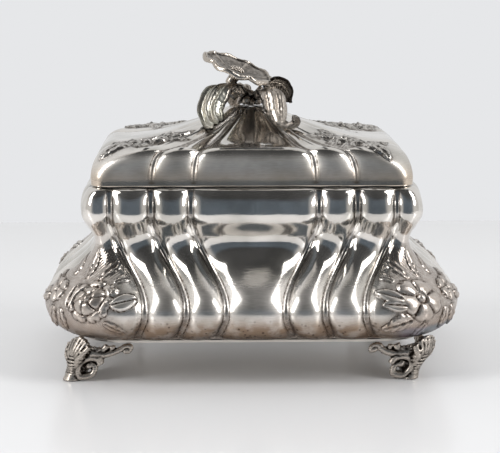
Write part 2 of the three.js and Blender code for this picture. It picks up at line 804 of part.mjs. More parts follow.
// The stem: a boss on the apex, a stalk up to the blossom and a twig to the side leaf.
function stem() {
  const boss = new THREE.LatheGeometry(
    [
      [0, 0],
      [5, 0],
      [4.6, 1.2],
      [2.6, 2.4],
      [0, 2.8],
    ].map(([r, h]) => new THREE.Vector2(r, h)),
    14,
  );
  boss.rotateX(Math.PI / 2);
  boss.translate(0, 0, FINIAL_Z);
  const under = (drop) =>
    new THREE.Vector3(0, 0, -BLOSSOM_SHEET / 2 - drop)
      .applyEuler(BLOSSOM_TILT)
      .add(BLOSSOM_CENTRE)
      .toArray();
  const stalk = spline([
    [0.6, 0, FINIAL_Z + 0.8],
    [0.2, 0, FINIAL_Z + 3.6],
    under(4.4),
    under(0.55),
  ]);
  const twig = spline([
    [0.4, 0.2, FINIAL_Z + 1.2],
    [2.4, 0.8, FINIAL_Z + 4.4],
    [5.6, 1.6, FINIAL_Z + 7.4],
  ]);
  return joined([
    boss,
    bar(stalk, (s) => [mix(2.6, 1.7, s), mix(2.6, 1.7, s)], { flat: ACROSS }),
    rod(twig, 1, 4),
  ]);
}

// A leaf: a curved blade along a midrib, with half its width at each place along it.
function leaf(midrib, halfWidth, across, droop, thickness = 0.9) {
  const curve = spline(midrib);
  const grid = steps(0, 1, 12).map((s) => {
    const centre = curve.getPointAt(s);
    const tangent = curve.getTangentAt(s);
    const wide = across.clone().addScaledVector(tangent, -across.dot(tangent)).normalize();
    const up = new THREE.Vector3().crossVectors(tangent, wide).normalize();
    const half = halfWidth(s);
    return steps(-1, 1, 6).map((t) =>
      centre
        .clone()
        .addScaledVector(wide, half * t)
        .addScaledVector(up, -droop * half * t * t + 0.25 * Math.cos(2 * Math.PI * t)),
    );
  });
  return sheetSolid(grid, thickness);
}

const leafWidth = (widest, tip) => (s) =>
  Math.max(tip, widest * Math.pow(Math.sin(Math.PI * Math.min(0.97, 0.16 + 0.8 * s)), 0.7));

// A leaf's path: out from the stem, then down to a place over the roof.
const overRoof = (x, y, above) => [x, y, roofZ(x, y) + above];

const leafLeft = () =>
  leaf(
    [
      [-3.6, -3.6, FINIAL_Z + 4.2],
      [-7.5, -5.6, FINIAL_Z + 8],
      [-12.6, -9, FINIAL_Z + 7.4],
      overRoof(-15.8, -12.6, 6.4),
      overRoof(-15.2, -16, 3.4),
      overRoof(-13, -19.5, 2.8),
    ],
    leafWidth(5.4, 0.7),
    new THREE.Vector3(0.82, -0.57, 0),
    0.28,
  );

const leafRight = () =>
  leaf(
    [
      [3.8, -4, FINIAL_Z + 4],
      [6, -7.2, FINIAL_Z + 6.6],
      [8.8, -10.6, FINIAL_Z + 5],
      overRoof(10.4, -14, 4.6),
      overRoof(11.6, -17.4, 2.6),
      overRoof(14.6, -19, 2.4),
    ],
    leafWidth(4.6, 0.7),
    new THREE.Vector3(0.86, 0.5, 0),
    0.25,
  );

const leafBack = () =>
  leaf(
    [
      [-1.6, 5, FINIAL_Z + 4],
      [-3.6, 8, FINIAL_Z + 7],
      [-5.4, 11.6, FINIAL_Z + 6.2],
      overRoof(-6, 15, 4.6),
      overRoof(-6, 17.6, 2.2),
    ],
    leafWidth(4.8, 0.7),
    new THREE.Vector3(-0.95, -0.3, 0),
    0.25,
  );

const leafSide = () =>
  leaf(
    [
      [7.6, 1.8, FINIAL_Z + 7.4],
      [11.2, 2.6, FINIAL_Z + 9.2],
      [14.8, 3.4, FINIAL_Z + 7.6],
      [17, 4, FINIAL_Z + 3.8],
      [17.2, 4.4, FINIAL_Z + 0.4],
    ],
    leafWidth(5.4, 0.9),
    new THREE.Vector3(-0.1, -1, 0.1),
    0.22,
  );

function stud() {
  const low = LID_APEX_Z - SHEET - STUD_DROP;
  const high = FINIAL_Z - SEAM_GAP;
  const geometry = new THREE.CylinderGeometry(STUD_RADIUS, STUD_RADIUS, high - low, 14);
  geometry.rotateX(Math.PI / 2);
  geometry.translate(0, 0, (low + high) / 2);
  return geometry;
}

// A flat ring on the finial's axis, with its top face at the given height.
function flatRing(sides, radius, bore, height, top) {
  const shape = new THREE.Shape(
    Array.from({ length: sides }, (_, i) => {
      const angle = (2 * Math.PI * i) / sides;
      return new THREE.Vector2(radius * Math.cos(angle), radius * Math.sin(angle));
    }),
  );
  const hole = new THREE.Path().absarc(0, 0, bore, 0, 2 * Math.PI, true);
  shape.holes.push(hole);
  const geometry = new THREE.ExtrudeGeometry(shape, {
    depth: height,
    bevelEnabled: false,
    curveSegments: 14,
  });
  geometry.translate(0, 0, top - height);
  return geometry;
}

// ---------------------------------------------------------------------- assembly
const box = new THREE.Group();

function put(name, geometry, material) {
  const mesh = new THREE.Mesh(geometry, material);
  mesh.name = name;
  box.add(mesh);
  return mesh;
}

put("bowl_shell", bowlShell(), POLISHED);
put("bottom_plate", bottomPlate(), INNER);
put("rim_bezel", bezel(), INNER);

const footShape = foot();
put("foot_front_left", footAt(footShape, -1, -1), CAST);
put("foot_front_right", footAt(footShape, 1, -1), CAST);
put("foot_back_right", footAt(footShape, 1, 1), CAST);
put("foot_back_left", footAt(footShape, -1, 1), CAST);

put("hinge_leaf_bowl", bowlLeaf(), CAST);
put("hinge_leaf_lid", lidLeaf(), CAST);
put("hinge_pin", hingePin(), STEEL);

put("lid_shell", lidShell(), POLISHED);
put("lid_band", lidBand(), INNER);
put("finial_stud", stud(), STEEL);
const washerTop = LID_APEX_Z - SHEET - SEAM_GAP;
const nutTop = washerTop - WASHER - SEAM_GAP;
const studBore = STUD_RADIUS + STUD_HOLE_GAP;
put("finial_washer", flatRing(20, WASHER_RADIUS, studBore, WASHER, washerTop), INNER);
put("finial_nut", flatRing(6, NUT_RADIUS, studBore, NUT_HEIGHT, nutTop), STEEL);
put("finial_stem", stem(), CAST);
put("finial_blossom", placeBlossom(blossom()), CAST);
put("finial_stamens", stamens(), CAST);
put("finial_leaf_left", leafLeft(), CAST);
put("finial_leaf_right", leafRight(), CAST);
put("finial_leaf_back", leafBack(), CAST);
put("finial_leaf_side", leafSide(), CAST);

export default box;
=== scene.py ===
"""A lobed silver sugar box on cast scroll feet, with a hinged tent-shaped lid and a cast spray on top.

Shapes are worked out in millimetres and become metres when a mesh is made. The front faces -Y.
"""

import math

import bpy
import numpy as np
from mathutils import Matrix, Vector


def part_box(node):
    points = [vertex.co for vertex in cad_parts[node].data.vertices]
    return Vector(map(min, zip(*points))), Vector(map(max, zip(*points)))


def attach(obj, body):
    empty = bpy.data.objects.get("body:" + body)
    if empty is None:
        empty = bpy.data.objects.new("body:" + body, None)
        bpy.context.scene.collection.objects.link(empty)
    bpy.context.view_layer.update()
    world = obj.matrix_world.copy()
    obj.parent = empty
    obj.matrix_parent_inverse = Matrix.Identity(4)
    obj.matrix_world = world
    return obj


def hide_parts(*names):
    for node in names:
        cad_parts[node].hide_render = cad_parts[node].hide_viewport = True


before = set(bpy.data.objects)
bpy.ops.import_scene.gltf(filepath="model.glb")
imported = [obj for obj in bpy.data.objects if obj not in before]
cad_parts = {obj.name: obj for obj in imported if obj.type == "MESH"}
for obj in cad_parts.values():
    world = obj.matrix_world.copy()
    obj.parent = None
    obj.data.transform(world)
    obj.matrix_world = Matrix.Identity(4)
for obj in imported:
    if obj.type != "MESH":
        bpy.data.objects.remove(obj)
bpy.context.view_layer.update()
MM = 0.001


def node_box(node):
    """A CAD node's lowest and highest corner, in millimetres."""
    low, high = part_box(node)
    return [v / MM for v in low], [v / MM for v in high]


# ------------------------------------------------------------------ sizes, in mm
BOWL_LOW, BOWL_HIGH = node_box("bowl_shell")
LID_LOW, LID_HIGH = node_box("lid_shell")
HALF_X, HALF_Y = BOWL_HIGH[0], BOWL_HIGH[1]
BASE_Z, RIM_Z = BOWL_LOW[2], BOWL_HIGH[2]
RIM_X, RIM_Y = LID_HIGH[0], LID_HIGH[1]
LID_Z, APEX_Z = LID_LOW[2], LID_HIGH[2]
RIM_INSET = HALF_X - RIM_X
SHEET = 0.9

BELLY_Z = 27.5
WAIST_Z = 52
SHOULDER_Z = 63
BASE_INSET = 15.5
WAIST_INSET = 19.2
SHOULDER_INSET = 14.4
RIM_LEDGE = 2.2
PLAIN_TARNISH = 0.2

FRONT_FLUTES = np.array([0.393, 0.634, 0.882]) * RIM_X
SIDE_FLUTES = np.array([0.44, 0.8]) * RIM_Y
SWING = 0.213
FLUTE_CUT = 2.5
FLUTE_ROLL = 9.5
CHANNEL = 1.15  # half width of the narrow channel between two lobes
CHANNEL_CUT = 0.5
INNER_CHANNEL = 0.2
CORNER_POWER = 2.35
MIDDLE_SHIFT = 1.0  # the flutes stand a little right of true

LID_SIDE = 2.2
LID_SHOULDER_Z = 87.2
LID_SHOULDER_SHARE = 0.87
LID_APEX_SHARE = 0.13
LID_HOLLOW = 1.8
LID_CORNER = (19, 15.5)  # half axes of the lid's corners at its shoulder
LID_CUT = 1.5
LID_ROLL = 8


# ------------------------------------------------------------------------ helpers
def srgb(code):
    """An sRGB hex colour as linear RGBA."""
    parts = [int(code[i : i + 2], 16) / 255 for i in (1, 3, 5)]
    return (*[c / 12.92 if c <= 0.04045 else ((c + 0.055) / 1.055) ** 2.4 for c in parts], 1.0)


def ease(s):
    return (1 - np.cos(np.pi * np.clip(s, 0, 1))) / 2


def mix(a, b, s):
    return a + (b - a) * s


def mesh_object(name, points, faces):
    """A mesh object from points in millimetres."""
    mesh = bpy.data.meshes.new(name)
    mesh.from_pydata((np.asarray(points, float) * MM).tolist(), [], [list(f) for f in faces])
    mesh.validate()
    mesh.shade_smooth()
    thing = bpy.data.objects.new(name, mesh)
    bpy.context.scene.collection.objects.link(thing)
    return thing


def ring_faces(rows, across, closed):
    """Quads between closed rows of points, the last row joined to the first when closed."""
    quads = []
    for r in range(rows if closed else rows - 1):
        low, high = r * across, (r + 1) % rows * across
        c = np.arange(across)
        d = (c + 1) % across
        quads.append(np.stack([low + c, low + d, high + d, high + c], 1))
    return np.concatenate(quads).tolist()


def capped_faces(rows, across):
    """Quads between closed rows of points, and a face over the first and the last row."""
    first, last = list(range(across)), list(range((rows - 1) * across, rows * across))
    return ring_faces(rows, across, False) + [first[::-1], last]


def slab(top, under):
    """A closed slab between two grids of points, as points and faces."""
    rows, wide = top.shape[:2]
    around, last = 2 * wide, (rows - 1) * 2 * wide
    points = np.concatenate([top, under[:, ::-1]], 1).reshape(-1, 3)
    faces = ring_faces(rows, around, False)
    for j in range(wide - 1):
        faces.append([around - 1 - j, around - 2 - j, j + 1, j])
        faces.append([last + j, last + j + 1, last + around - 2 - j, last + around - 1 - j])
    return points, faces


def store(thing, name, values):
    """A number for each point, for a material to read."""
    layer = thing.data.attributes.new(name, "FLOAT", "POINT")
    layer.data.foreach_set("value", np.asarray(values, np.float32).ravel())


def shell(name, outer, tarnish_and_dark_reflection, inside):
    """A closed shell of the outer rows and the rows inside it, which are plainly tarnished."""
    rows = [*outer, *inside]
    thing = mesh_object(name, np.concatenate(rows), ring_faces(len(rows), len(rows[0]), True))
    plain = np.full((len(inside), len(rows[0])), PLAIN_TARNISH)
    store(thing, "tarnish_and_dark_reflection", np.concatenate([tarnish_and_dark_reflection, plain]))
    return thing


# ------------------------------------------------------------- plans of the lobed walls
NEAR_FLUTE = np.array([0.4, 0.75, 1.0, 1.2, 1.5, 2.2, 3.3, 4.6])
PLAIN_COLUMNS = 5
CORNER_COLUMNS = 60
FAR = 99


def places_along(length, middle):
    """Distances along a lobe from its first flute: close together beside both flutes."""
    near = NEAR_FLUTE * min(1, 0.42 * length / NEAR_FLUTE[-1])
    inner = np.linspace(near[-1], length - near[-1], middle + 2)[1:-1]
    return np.concatenate([[0], near, inner, length - near[::-1]])


def corner_path(plan):
    """The corner lobe's outline from its front flute to its side flute, with its outward direction."""
    angle = np.linspace(0, np.pi / 2, 300)
    (rx, ry), power = plan["corner"], plan["power"]
    ex, ey = np.sin(angle) ** (2 / power), np.cos(angle).clip(0) ** (2 / power)
    x, y = plan["half_x"] - rx * (1 - ex), -plan["half_y"] + ry * (1 - ey)
    nx, ny = ex ** (power - 1) / rx, -(ey ** (power - 1)) / ry
    size = np.hypot(nx, ny)
    x = np.concatenate([[plan["front"][-1]], x, [plan["half_x"]]])
    y = np.concatenate([[-plan["half_y"]], y, [-plan["side"][-1]]])
    nx = np.concatenate([[0], nx / size, [1]])
    ny = np.concatenate([[-1], ny / size, [0]])
    return x, y, nx, ny


def corner_lobe(plan, run_along):
    """Columns round the corner at the distances that run_along gives for its whole length."""
    x, y, nx, ny = corner_path(plan)
    along = np.concatenate([[0], np.cumsum(np.hypot(np.diff(x), np.diff(y)))])
    run = run_along(along[-1])
    away = np.minimum(run, along[-1] - run)
    fields = [np.interp(run, along, f) for f in (x, y, nx, ny)]
    half = np.full_like(run, along[-1] / 2)
    return np.stack([*fields, away, half, run - along[-1] / 2], 1)


MIRRORS = ((1, 1), (1, -1), (-1, -1), (-1, 1))


def mirrored(columns, number):
    """Columns of the front right quarter moved to another quarter, still running anticlockwise."""
    x, y = MIRRORS[number]
    moved = columns * np.array([x, y, x, y, 1, 1, 1])
    moved = np.column_stack([moved, np.full(len(moved), number)])
    return moved if x == y else moved[::-1]


def quarter(plan):
    """Columns of [x, y, nx, ny, distance from the flute, half width of the lobe, place
    across the corner or nan]."""
    columns = []

    def straight(start, end, from_flute, to_flute, place):
        length = abs(end - start)
        if from_flute and to_flute:
            run = places_along(length, PLAIN_COLUMNS)
        else:
            run = places_along(2 * length, 2 * PLAIN_COLUMNS)
            run = run[run <= length + 1e-6]
            run = run if from_flute else length - run[::-1]
        away = np.minimum(run if from_flute else FAR, length - run if to_flute else FAR)
        half = length / 2 if from_flute and to_flute else length
        for u, d in zip(start + np.sign(end - start) * run, away):
            columns.append([*place(u), d, half, np.nan])

    def on_front(u):
        return [u, -plan["half_y"], 0, -1]

    def on_side(u):
        return [plan["half_x"], u, 1, 0]

    front, side = plan["front"], plan["side"]
    straight(0, front[0], False, True, on_front)
    columns.pop()
    for a, b in zip(front[:-1], front[1:]):
        straight(a, b, True, True, on_front)
    columns.extend(corner_lobe(plan, lambda length: places_along(length, CORNER_COLUMNS)).tolist())
    for a, b in zip(side[:0:-1], side[-2::-1]):
        straight(-a, -b, True, True, on_side)
    straight(-side[0], 0, True, False, on_side)
    return np.array(columns)


def whole(plan):
    """The quarter mirrored four ways, with a last field for the quarter that a column is in."""
    q = quarter(plan)
    quarters = [mirrored(q, number) for number in range(4)]
    return np.concatenate([quarters[0], quarters[1][1:], quarters[2][1:], quarters[3][1:-1]])


def flute_depth(columns, cut, roll, channel, channel_cut):
    """How far a wall sinks near a flute: the lobe's roll, then a narrow round channel."""
    away, half = columns[:, 4], columns[:, 5]
    s = np.clip((away - channel) / np.minimum(roll, half - channel), 0, 1)
    rolled = cut * (0.75 * (1 - s) ** 2 + 0.25 * (1 - s) ** 5)
    inside = np.clip(1 - (away / channel) ** 2, 0, 1)
    return rolled + np.where(away < channel, channel_cut * inside, 0)


def level(columns, z, out, up, depth):
    """Points of one level: the plan's outline, sunk along its own outward direction."""
    x, y, nx, ny = columns[:, 0], columns[:, 1], columns[:, 2], columns[:, 3]
    depth = np.broadcast_to(depth, x.shape)
    return np.stack([x - nx * depth * out, y - ny * depth * out, z - depth * up], 1)


def outward(columns, out, up):
    """The outward direction at each column of one level."""
    return np.stack([columns[:, 2] * out, columns[:, 3] * out, np.full(len(columns), up)], 1)


# ------------------------------------------------------------------ chased relief
def rose(s, t, at, radius, petals=5, turn=0.0, height=1.3, heart=0.17):
    """An open rose: domed petals parted by deep creases round a button."""
    x, y = s - at[0], t - at[1]
    rho, angle = np.hypot(x, y) / radius, np.arctan2(y, x) + turn
    lobe = np.abs(np.cos(angle * petals / 2))
    notch = 0.07 * np.exp(-(((1 - lobe) / 0.03) ** 2))
    edge = 0.72 + 0.28 * lobe**0.4 - notch
    inside = np.clip((edge - rho) / 0.16, 0, 1)
    dome = 0.5 + 0.35 * lobe * np.sin(np.pi * np.clip((rho - heart) / (1 - heart), 0, 1)) ** 0.7
    crease = 0.8 * np.clip(1 - lobe / 0.3, 0, 1) ** 1.2 * np.clip(rho * 4 - 0.8, 0, 1)
    veins = 0.05 * np.cos(angle * petals * 4) * np.clip(0.75 - rho, 0, 1) * lobe
    button = 0.6 * np.sqrt(np.clip(1 - (rho / heart) ** 2, 0, 1))
    moat = 0.6 * np.exp(-(((rho - heart - 0.03) / 0.05) ** 2))
    body = ease(inside) ** 0.6 * (dome - crease - moat + veins)
    return height * (np.maximum(body, 0) + button)


def bud_ball(s, t, at, radius, segments=7, height=1.9):
    """A round bud whose ball is parted by curved seams that meet in a small knob."""
    x, y = (s - at[0]) / radius, (t - at[1]) / radius
    rho = np.hypot(x, y)
    dome = np.sqrt(np.clip(1 - rho**2, 0, 1))
    angle = np.arctan2(y, x) + 0.4 * rho
    seam = np.abs(np.sin(angle * segments / 2))
    part = 0.6 * (1 - np.clip(seam / 0.4, 0, 1)) ** 1.5 * np.clip(rho * 3, 0, 1) * (rho < 1)
    knob = 0.22 * np.clip(1 - (rho / 0.2) ** 2, 0, 1) - 0.2 * np.exp(-(((rho - 0.27) / 0.08) ** 2))
    return height * np.maximum(dome - part * dome**0.3 + knob * dome, 0)


def leaf(s, t, base, tip, width, height=0.9, teeth=5, bend=0.0):
    """A toothed leaf with a sunk midrib and slanting veins, from its base to its tip."""
    (x0, y0), (x1, y1) = base, tip
    length = math.hypot(x1 - x0, y1 - y0)
    ux, uy = (x1 - x0) / length, (y1 - y0) / length
    u = ((s - x0) * ux + (t - y0) * uy) / length
    v = -(s - x0) * uy + (t - y0) * ux
    v = v - bend * length * u * (1 - u)
    span = np.clip(u, 0.001, 0.999)
    half = width / 2 * np.sin(np.pi * span**0.8) ** 0.75
    half = half * (1 + 0.2 * (np.abs(np.sin(np.pi * teeth * span)) - 0.5))
    inside = np.where((u > 0) & (u < 1), 1 - np.abs(v) / np.maximum(half, 0.05), 0)
    swell = ease(np.clip(inside * 2.6, 0, 1))
    veins = 0.12 * np.cos(2 * np.pi * teeth * (u - np.abs(v) / length * 0.9))
    rib = 0.6 * np.exp(-((v / 0.4) ** 2)) * np.clip(8 * (1 - u), 0, 1)
    return height * np.maximum(swell * (0.9 + veins - rib), 0)


def hatching(s, t, at, size, angle, pitch=1.1, depth=0.12):
    """A patch of engraved lines that fades at its edge, as a depth below the wall."""
    x, y = s - at[0], t - at[1]
    across = x * math.cos(angle) + y * math.sin(angle)
    patch = np.clip(1.6 - 1.6 * np.hypot(x / size[0], y / size[1]), 0, 1)
    return -depth * ease(patch) * (0.5 + 0.5 * np.cos(2 * np.pi * across / pitch)) ** 2


def raised(*reliefs):
    return np.maximum.reduce(reliefs)


def open_rose_spray(s, t):
    """An open rose with three leaves on its front side."""
    return raised(
        rose(s, t, (-8, 5.6), 9.5, 5, 0.35, 1.6),
        leaf(s, t, (-15, 5.5), (-24.5, 10.5), 6.5, 1.2, 1, 0.14),
        leaf(s, t, (-14.5, 3), (-24.5, 4), 5.5, 1.1, 1, -0.14),
        leaf(s, t, (-13, -2), (-24.5, -6), 8, 0.9, 4, -0.1),
        leaf(s, t, (-7, -4), (-9, -11), 5.5, 0.6, 3, 0.1),
    )


def bud_spray(s, t):
    """A ball bud in a collar of ruffled petals, with a smooth leaf on its front side."""
    gap = np.clip((np.hypot(s + 9, t - 5.6) - 5.7) / 0.7, 0, 1)
    collar = raised(
        rose(s, t, (-9, 5.6), 9.6, 7, 0.3, 1.3),
        leaf(s, t, (-1.6, 1), (-1.2, 12), 5.5, 1.3, 1, -0.25),
        bud_ball(s, t, (-16, 9.5), 2.2, 4, 1.2),
        bud_ball(s, t, (-16.8, 5.2), 2.0, 4, 1.1),
        bud_ball(s, t, (-15.8, 1.4), 1.9, 4, 1.0),
    )
    return raised(
        collar * gap,
        bud_ball(s, t, (-9, 5.6), 5.8, 6, 2.6),
        leaf(s, t, (-18, 4), (-28, 8.5), 7.5, 1.5, 1, 0.1),
        leaf(s, t, (-16, -2.5), (-23, -7.5), 4.5, 0.5, 4, -0.1),
    )


def corner_flowers(s, t, number):
    """The flowers chased on a corner of the bowl. s runs from the long side round to the
    short side with 0 on the corner, and t up the wall from the belly's widest place."""
    head = open_rose_spray(s, t) if number in (0, 2) else bud_spray(s, t)
    second = raised(
        rose(s, t, (9.5, 7.5), 5.6, 5, 0.1, 1.3),
        leaf(s, t, (14, 5), (24, 2), 6.5, 1.0, 3, 0.1),
        leaf(s, t, (8, 1), (12, -9), 6, 0.8, 3, 0.1),
        leaf(s, t, (13, 11), (22, 16), 6, 0.9, 3, -0.1),
        leaf(s, t, (3.5, 1), (2, -8), 5, 0.8, 3, 0.1),
    )
    above = raised(
        leaf(s, t, (-7, 15), (-12, 30), 5.5, 0.35, 5, 0.1),
        leaf(s, t, (-2, 15), (-1, 29), 5, 0.35, 5, -0.1),
        leaf(s, t, (6, 15), (8, 27), 5, 0.4, 4, 0.12),
        leaf(s, t, (-14, 14), (-20, 23), 4.5, 0.3, 4, 0.12),
    )
    lines = (
        hatching(s, t, (-2, -7), (24, 8), -0.5)
        + hatching(s, t, (-4, 22), (16, 11), 0.45)
        + hatching(s, t, (14, 14), (13, 12), 0.9)
    )
    flowers = raised(head, second, above)
    return np.where(flowers > 0.02, flowers, lines)


def lid_garland(s, t):
    """The garland chased along a corner of the lid. t runs inwards from the lid's side."""
    return raised(
        leaf(s, t, (0, 23), (0, 10), 8, 1.0, 5, 0.08),
        bud_ball(s, t, (-0.5, 24.5), 3.2, 5, 1.8),
        leaf(s, t, (2.5, 26), (8, 18), 5, 1.0, 3, 0.1),
        leaf(s, t, (-3, 27), (-8, 20), 5, 1.0, 3, -0.1),
        rose(s, t, (0.5, 32.5), 5.6, 5, 0.2, 1.8),
        leaf(s, t, (-3, 34), (-8, 28), 4.6, 0.8, 3, -0.1),
        leaf(s, t, (3.5, 35), (8.5, 39), 5.0, 0.9, 4, 0.1),
        leaf(s, t, (-1, 37), (-5, 46), 5.4, 0.9, 5, 0.1),
        leaf(s, t, (1, 38), (2.5, 50), 4.8, 0.8, 5, -0.1),
        rose(s, t, (-0.5, 42.5), 3.2, 5, 0.1, 1.3),
    )


def blurred(grid, size):
    """A running mean over a grid, down its rows and round its columns."""
    pad = np.pad(grid, ((size, size), (0, 0)), mode="edge")
    down = np.mean([pad[i : i + len(grid)] for i in range(2 * size + 1)], 0)
    return np.mean([np.roll(down, i, 1) for i in range(-size, size + 1)], 0)


def flute_dark_reflection(away, scale):
    """Painted dark reflection along a flute, with some stain: black at both edges of its channel and lighter
    in the middle.
    """
    edge = np.exp(-(((away / scale - CHANNEL) / 0.35) ** 2))
    return np.maximum(0.95 * edge, 0.55 * np.exp(-((away / scale / 1.1) ** 4)))


def stain_in(reliefs):
    """How much stain stays in a relief: along its sharp creases and round its raised edges."""
    crease = np.clip((blurred(reliefs, 1) - reliefs) / 0.06, 0, 1)
    ditch = np.clip((blurred(reliefs, 3) - reliefs - 0.03) / 0.3, 0, 1)
    engraved = np.clip(-reliefs / 0.12, 0, 1) * 0.6
    near = np.clip(blurred(blurred((reliefs > 0.05).astype(float), 5), 4) * 1.6, 0, 1)
    ground = 0.62 * near * np.clip(1 - reliefs / 0.4, 0, 1)
    return np.maximum.reduce([crease, ditch, engraved, ground])


# -------------------------------------------------------------------------- bowl
def wall_profile(under=32, side=46):
    """The bowl's outer profile from base to rim: inset, height and outward direction [out, up]."""
    a = np.linspace(0, np.pi / 2, under, endpoint=False)
    s = np.linspace(0, 1, side, endpoint=False)
    u = np.linspace(0, 1, 12, endpoint=False)
    b = np.linspace(0, np.pi / 2, 15)
    inset = np.concatenate(
        [
            BASE_INSET * (1 - np.sin(a)),
            WAIST_INSET * ease(s),
            mix(WAIST_INSET, SHOULDER_INSET, ease(u)),
            mix(SHOULDER_INSET, RIM_INSET, 1 - np.cos(b)),
        ]
    )
    z = np.concatenate(
        [
            mix(BASE_Z, BELLY_Z, 1 - np.cos(a)),
            mix(BELLY_Z, WAIST_Z, s),
            mix(WAIST_Z, SHOULDER_Z, u),
            mix(SHOULDER_Z, RIM_Z, np.sin(b)),
        ]
    )
    dz, di = np.gradient(z), np.gradient(inset)
    size = np.hypot(dz, di)
    return inset, z, dz / size, di / size


def bowl_plan(inset, z, out, inwards):
    """The bowl's outline at a height, or that of a skin further inwards."""
    half_x, half_y = HALF_X - inset - inwards * out, HALF_Y - inset - inwards * out
    down = SWING * ease((60 - z) / 28)
    under = max(0, (BELLY_Z - z) / (BELLY_Z - BASE_Z))
    back = 4 * under * under
    front = FRONT_FLUTES - RIM_X * down + back
    side = SIDE_FLUTES - 1.25 * RIM_Y * down + back
    corner = (half_x - front[-1], half_y - side[-1])
    return dict(half_x=half_x, half_y=half_y, front=front, side=side, corner=corner, power=CORNER_POWER)


def bowl_cut(z):
    """How deep the flutes are at a height: they die away at the base and at the rim."""
    if z > BELLY_Z:
        return mix(0.5, FLUTE_CUT, math.sqrt(min(1, (RIM_Z - z) / 4)))
    return FLUTE_CUT * math.sqrt(min(1, (z - BASE_Z) / 6))


def shift_middle(points, half_x):
    points[:, 0] += MIDDLE_SHIFT * (1 - (points[:, 0] / half_x) ** 2)
    return points


def wall_level(plan, columns, z, out, up, drop=0.0):
    """Points of one level of the bowl's wall, or of the skin that lies below it."""
    cut = bowl_cut(z)
    channel, channel_cut = (INNER_CHANNEL, 0) if drop else (CHANNEL, CHANNEL_CUT * cut / FLUTE_CUT)
    depth = flute_depth(columns, cut, FLUTE_ROLL, channel, channel_cut)
    return shift_middle(level(columns, z - drop * up, out, up, depth), plan["half_x"])


def bowl_shell():
    """The bowl's smooth lobed wall, its rim ledge and its inner skin."""
    inset, z, out, up = wall_profile()
    outer, dark = [], []
    for i in range(len(z)):
        plan = bowl_plan(inset[i], z[i], out[i], 0)
        columns = whole(plan)
        outer.append(wall_level(plan, columns, z[i], out[i], up[i]))
        # painted dark reflection along the flutes, with some stain
        dark.append(flute_dark_reflection(columns[:, 4], 1) * min(1, (z[i] - BASE_Z) / 3))
    inner = []
    for i in range(len(z) - 2, 0, -6):
        plan = bowl_plan(inset[i], z[i], out[i], SHEET)
        inner.append(wall_level(plan, whole(plan), z[i], out[i], up[i], SHEET))
    ledge = bowl_plan(RIM_INSET + RIM_LEDGE, RIM_Z, 1, 0)
    ledge["corner"] = (ledge["half_x"] - FRONT_FLUTES[-1], ledge["half_y"] - SIDE_FLUTES[-1])
    ring = whole(ledge)
    ledges = [level(ring, height, 1, 0, 0) for height in (RIM_Z, RIM_Z - SHEET)]
    return shell("bowl_wall", outer, dark, [*ledges, *inner])


CHASED_COLUMNS = 168
CHASED_MARGIN = 2.0  # from the flute to the skin's edge
CHASED_BELOW = 0.5  # from the base to the skin's lowest row


def chased_corner(name, number):
    """The chased skin of one corner. It stands just proud of the wall and dips into it at its edge."""
    inset, z, out, up = wall_profile(60, 86)
    along = np.concatenate([[0], np.cumsum(np.hypot(np.diff(z), np.diff(inset)))])
    t = along - np.interp(BELLY_Z, z, along)
    wall, sides, reliefs, edges = [], [], [], []
    for i in np.flatnonzero((z > BASE_Z + CHASED_BELOW) & (z < WAIST_Z)):
        plan = bowl_plan(inset[i], z[i], out[i], 0)
        ends = CHASED_MARGIN
        lobe = corner_lobe(plan, lambda length: np.linspace(ends, length - ends, CHASED_COLUMNS))
        columns = mirrored(lobe, number)
        wall.append(wall_level(plan, columns, z[i], out[i], up[i]))
        sides.append(outward(columns, out[i], up[i]))
        reliefs.append(corner_flowers(columns[:, 6], np.full(CHASED_COLUMNS, t[i]), number))
        from_end = min(z[i] - BASE_Z - CHASED_BELOW, WAIST_Z - z[i])
        edges.append(np.minimum((columns[:, 4] - CHASED_MARGIN) / 1.2, from_end / 1.5))
    wall, sides, edges = np.array(wall), np.array(sides), ease(np.array(edges))
    reliefs = np.array(reliefs) * edges
    top = wall + sides * (mix(-0.3, 0.03, edges) + reliefs)[..., None]
    under = wall - sides * 0.6
    thing = mesh_object(name, *slab(top, under))
    store(thing, "tarnish_and_dark_reflection", np.concatenate([stain_in(reliefs), np.zeros(reliefs.shape)], 1))
    return thing


# --------------------------------------------------------------------------- lid
def lid_profile():
    """The lid's outer profile from its edge to its apex: share of the rim, height, [out, up]."""
    side = np.linspace(0, 1, 5, endpoint=False)
    a = np.linspace(0, np.pi / 2, 30, endpoint=False)
    s = np.linspace(0, 1, 66)
    share = np.concatenate(
        [
            np.ones(5),
            1 - (1 - LID_SHOULDER_SHARE) * (1 - np.cos(a)),
            mix(LID_SHOULDER_SHARE, LID_APEX_SHARE, s),
        ]
    )
    z = np.concatenate(
        [
            LID_Z + LID_SIDE * side,
            mix(LID_Z + LID_SIDE, LID_SHOULDER_Z, np.sin(a)),
            mix(LID_SHOULDER_Z, APEX_Z, s**LID_HOLLOW),
        ]
    )
    dz, dr = np.gradient(z), -np.gradient(share) * RIM_Y
    size = np.hypot(dz, dr)
    return share, z, dz / size, dr / size


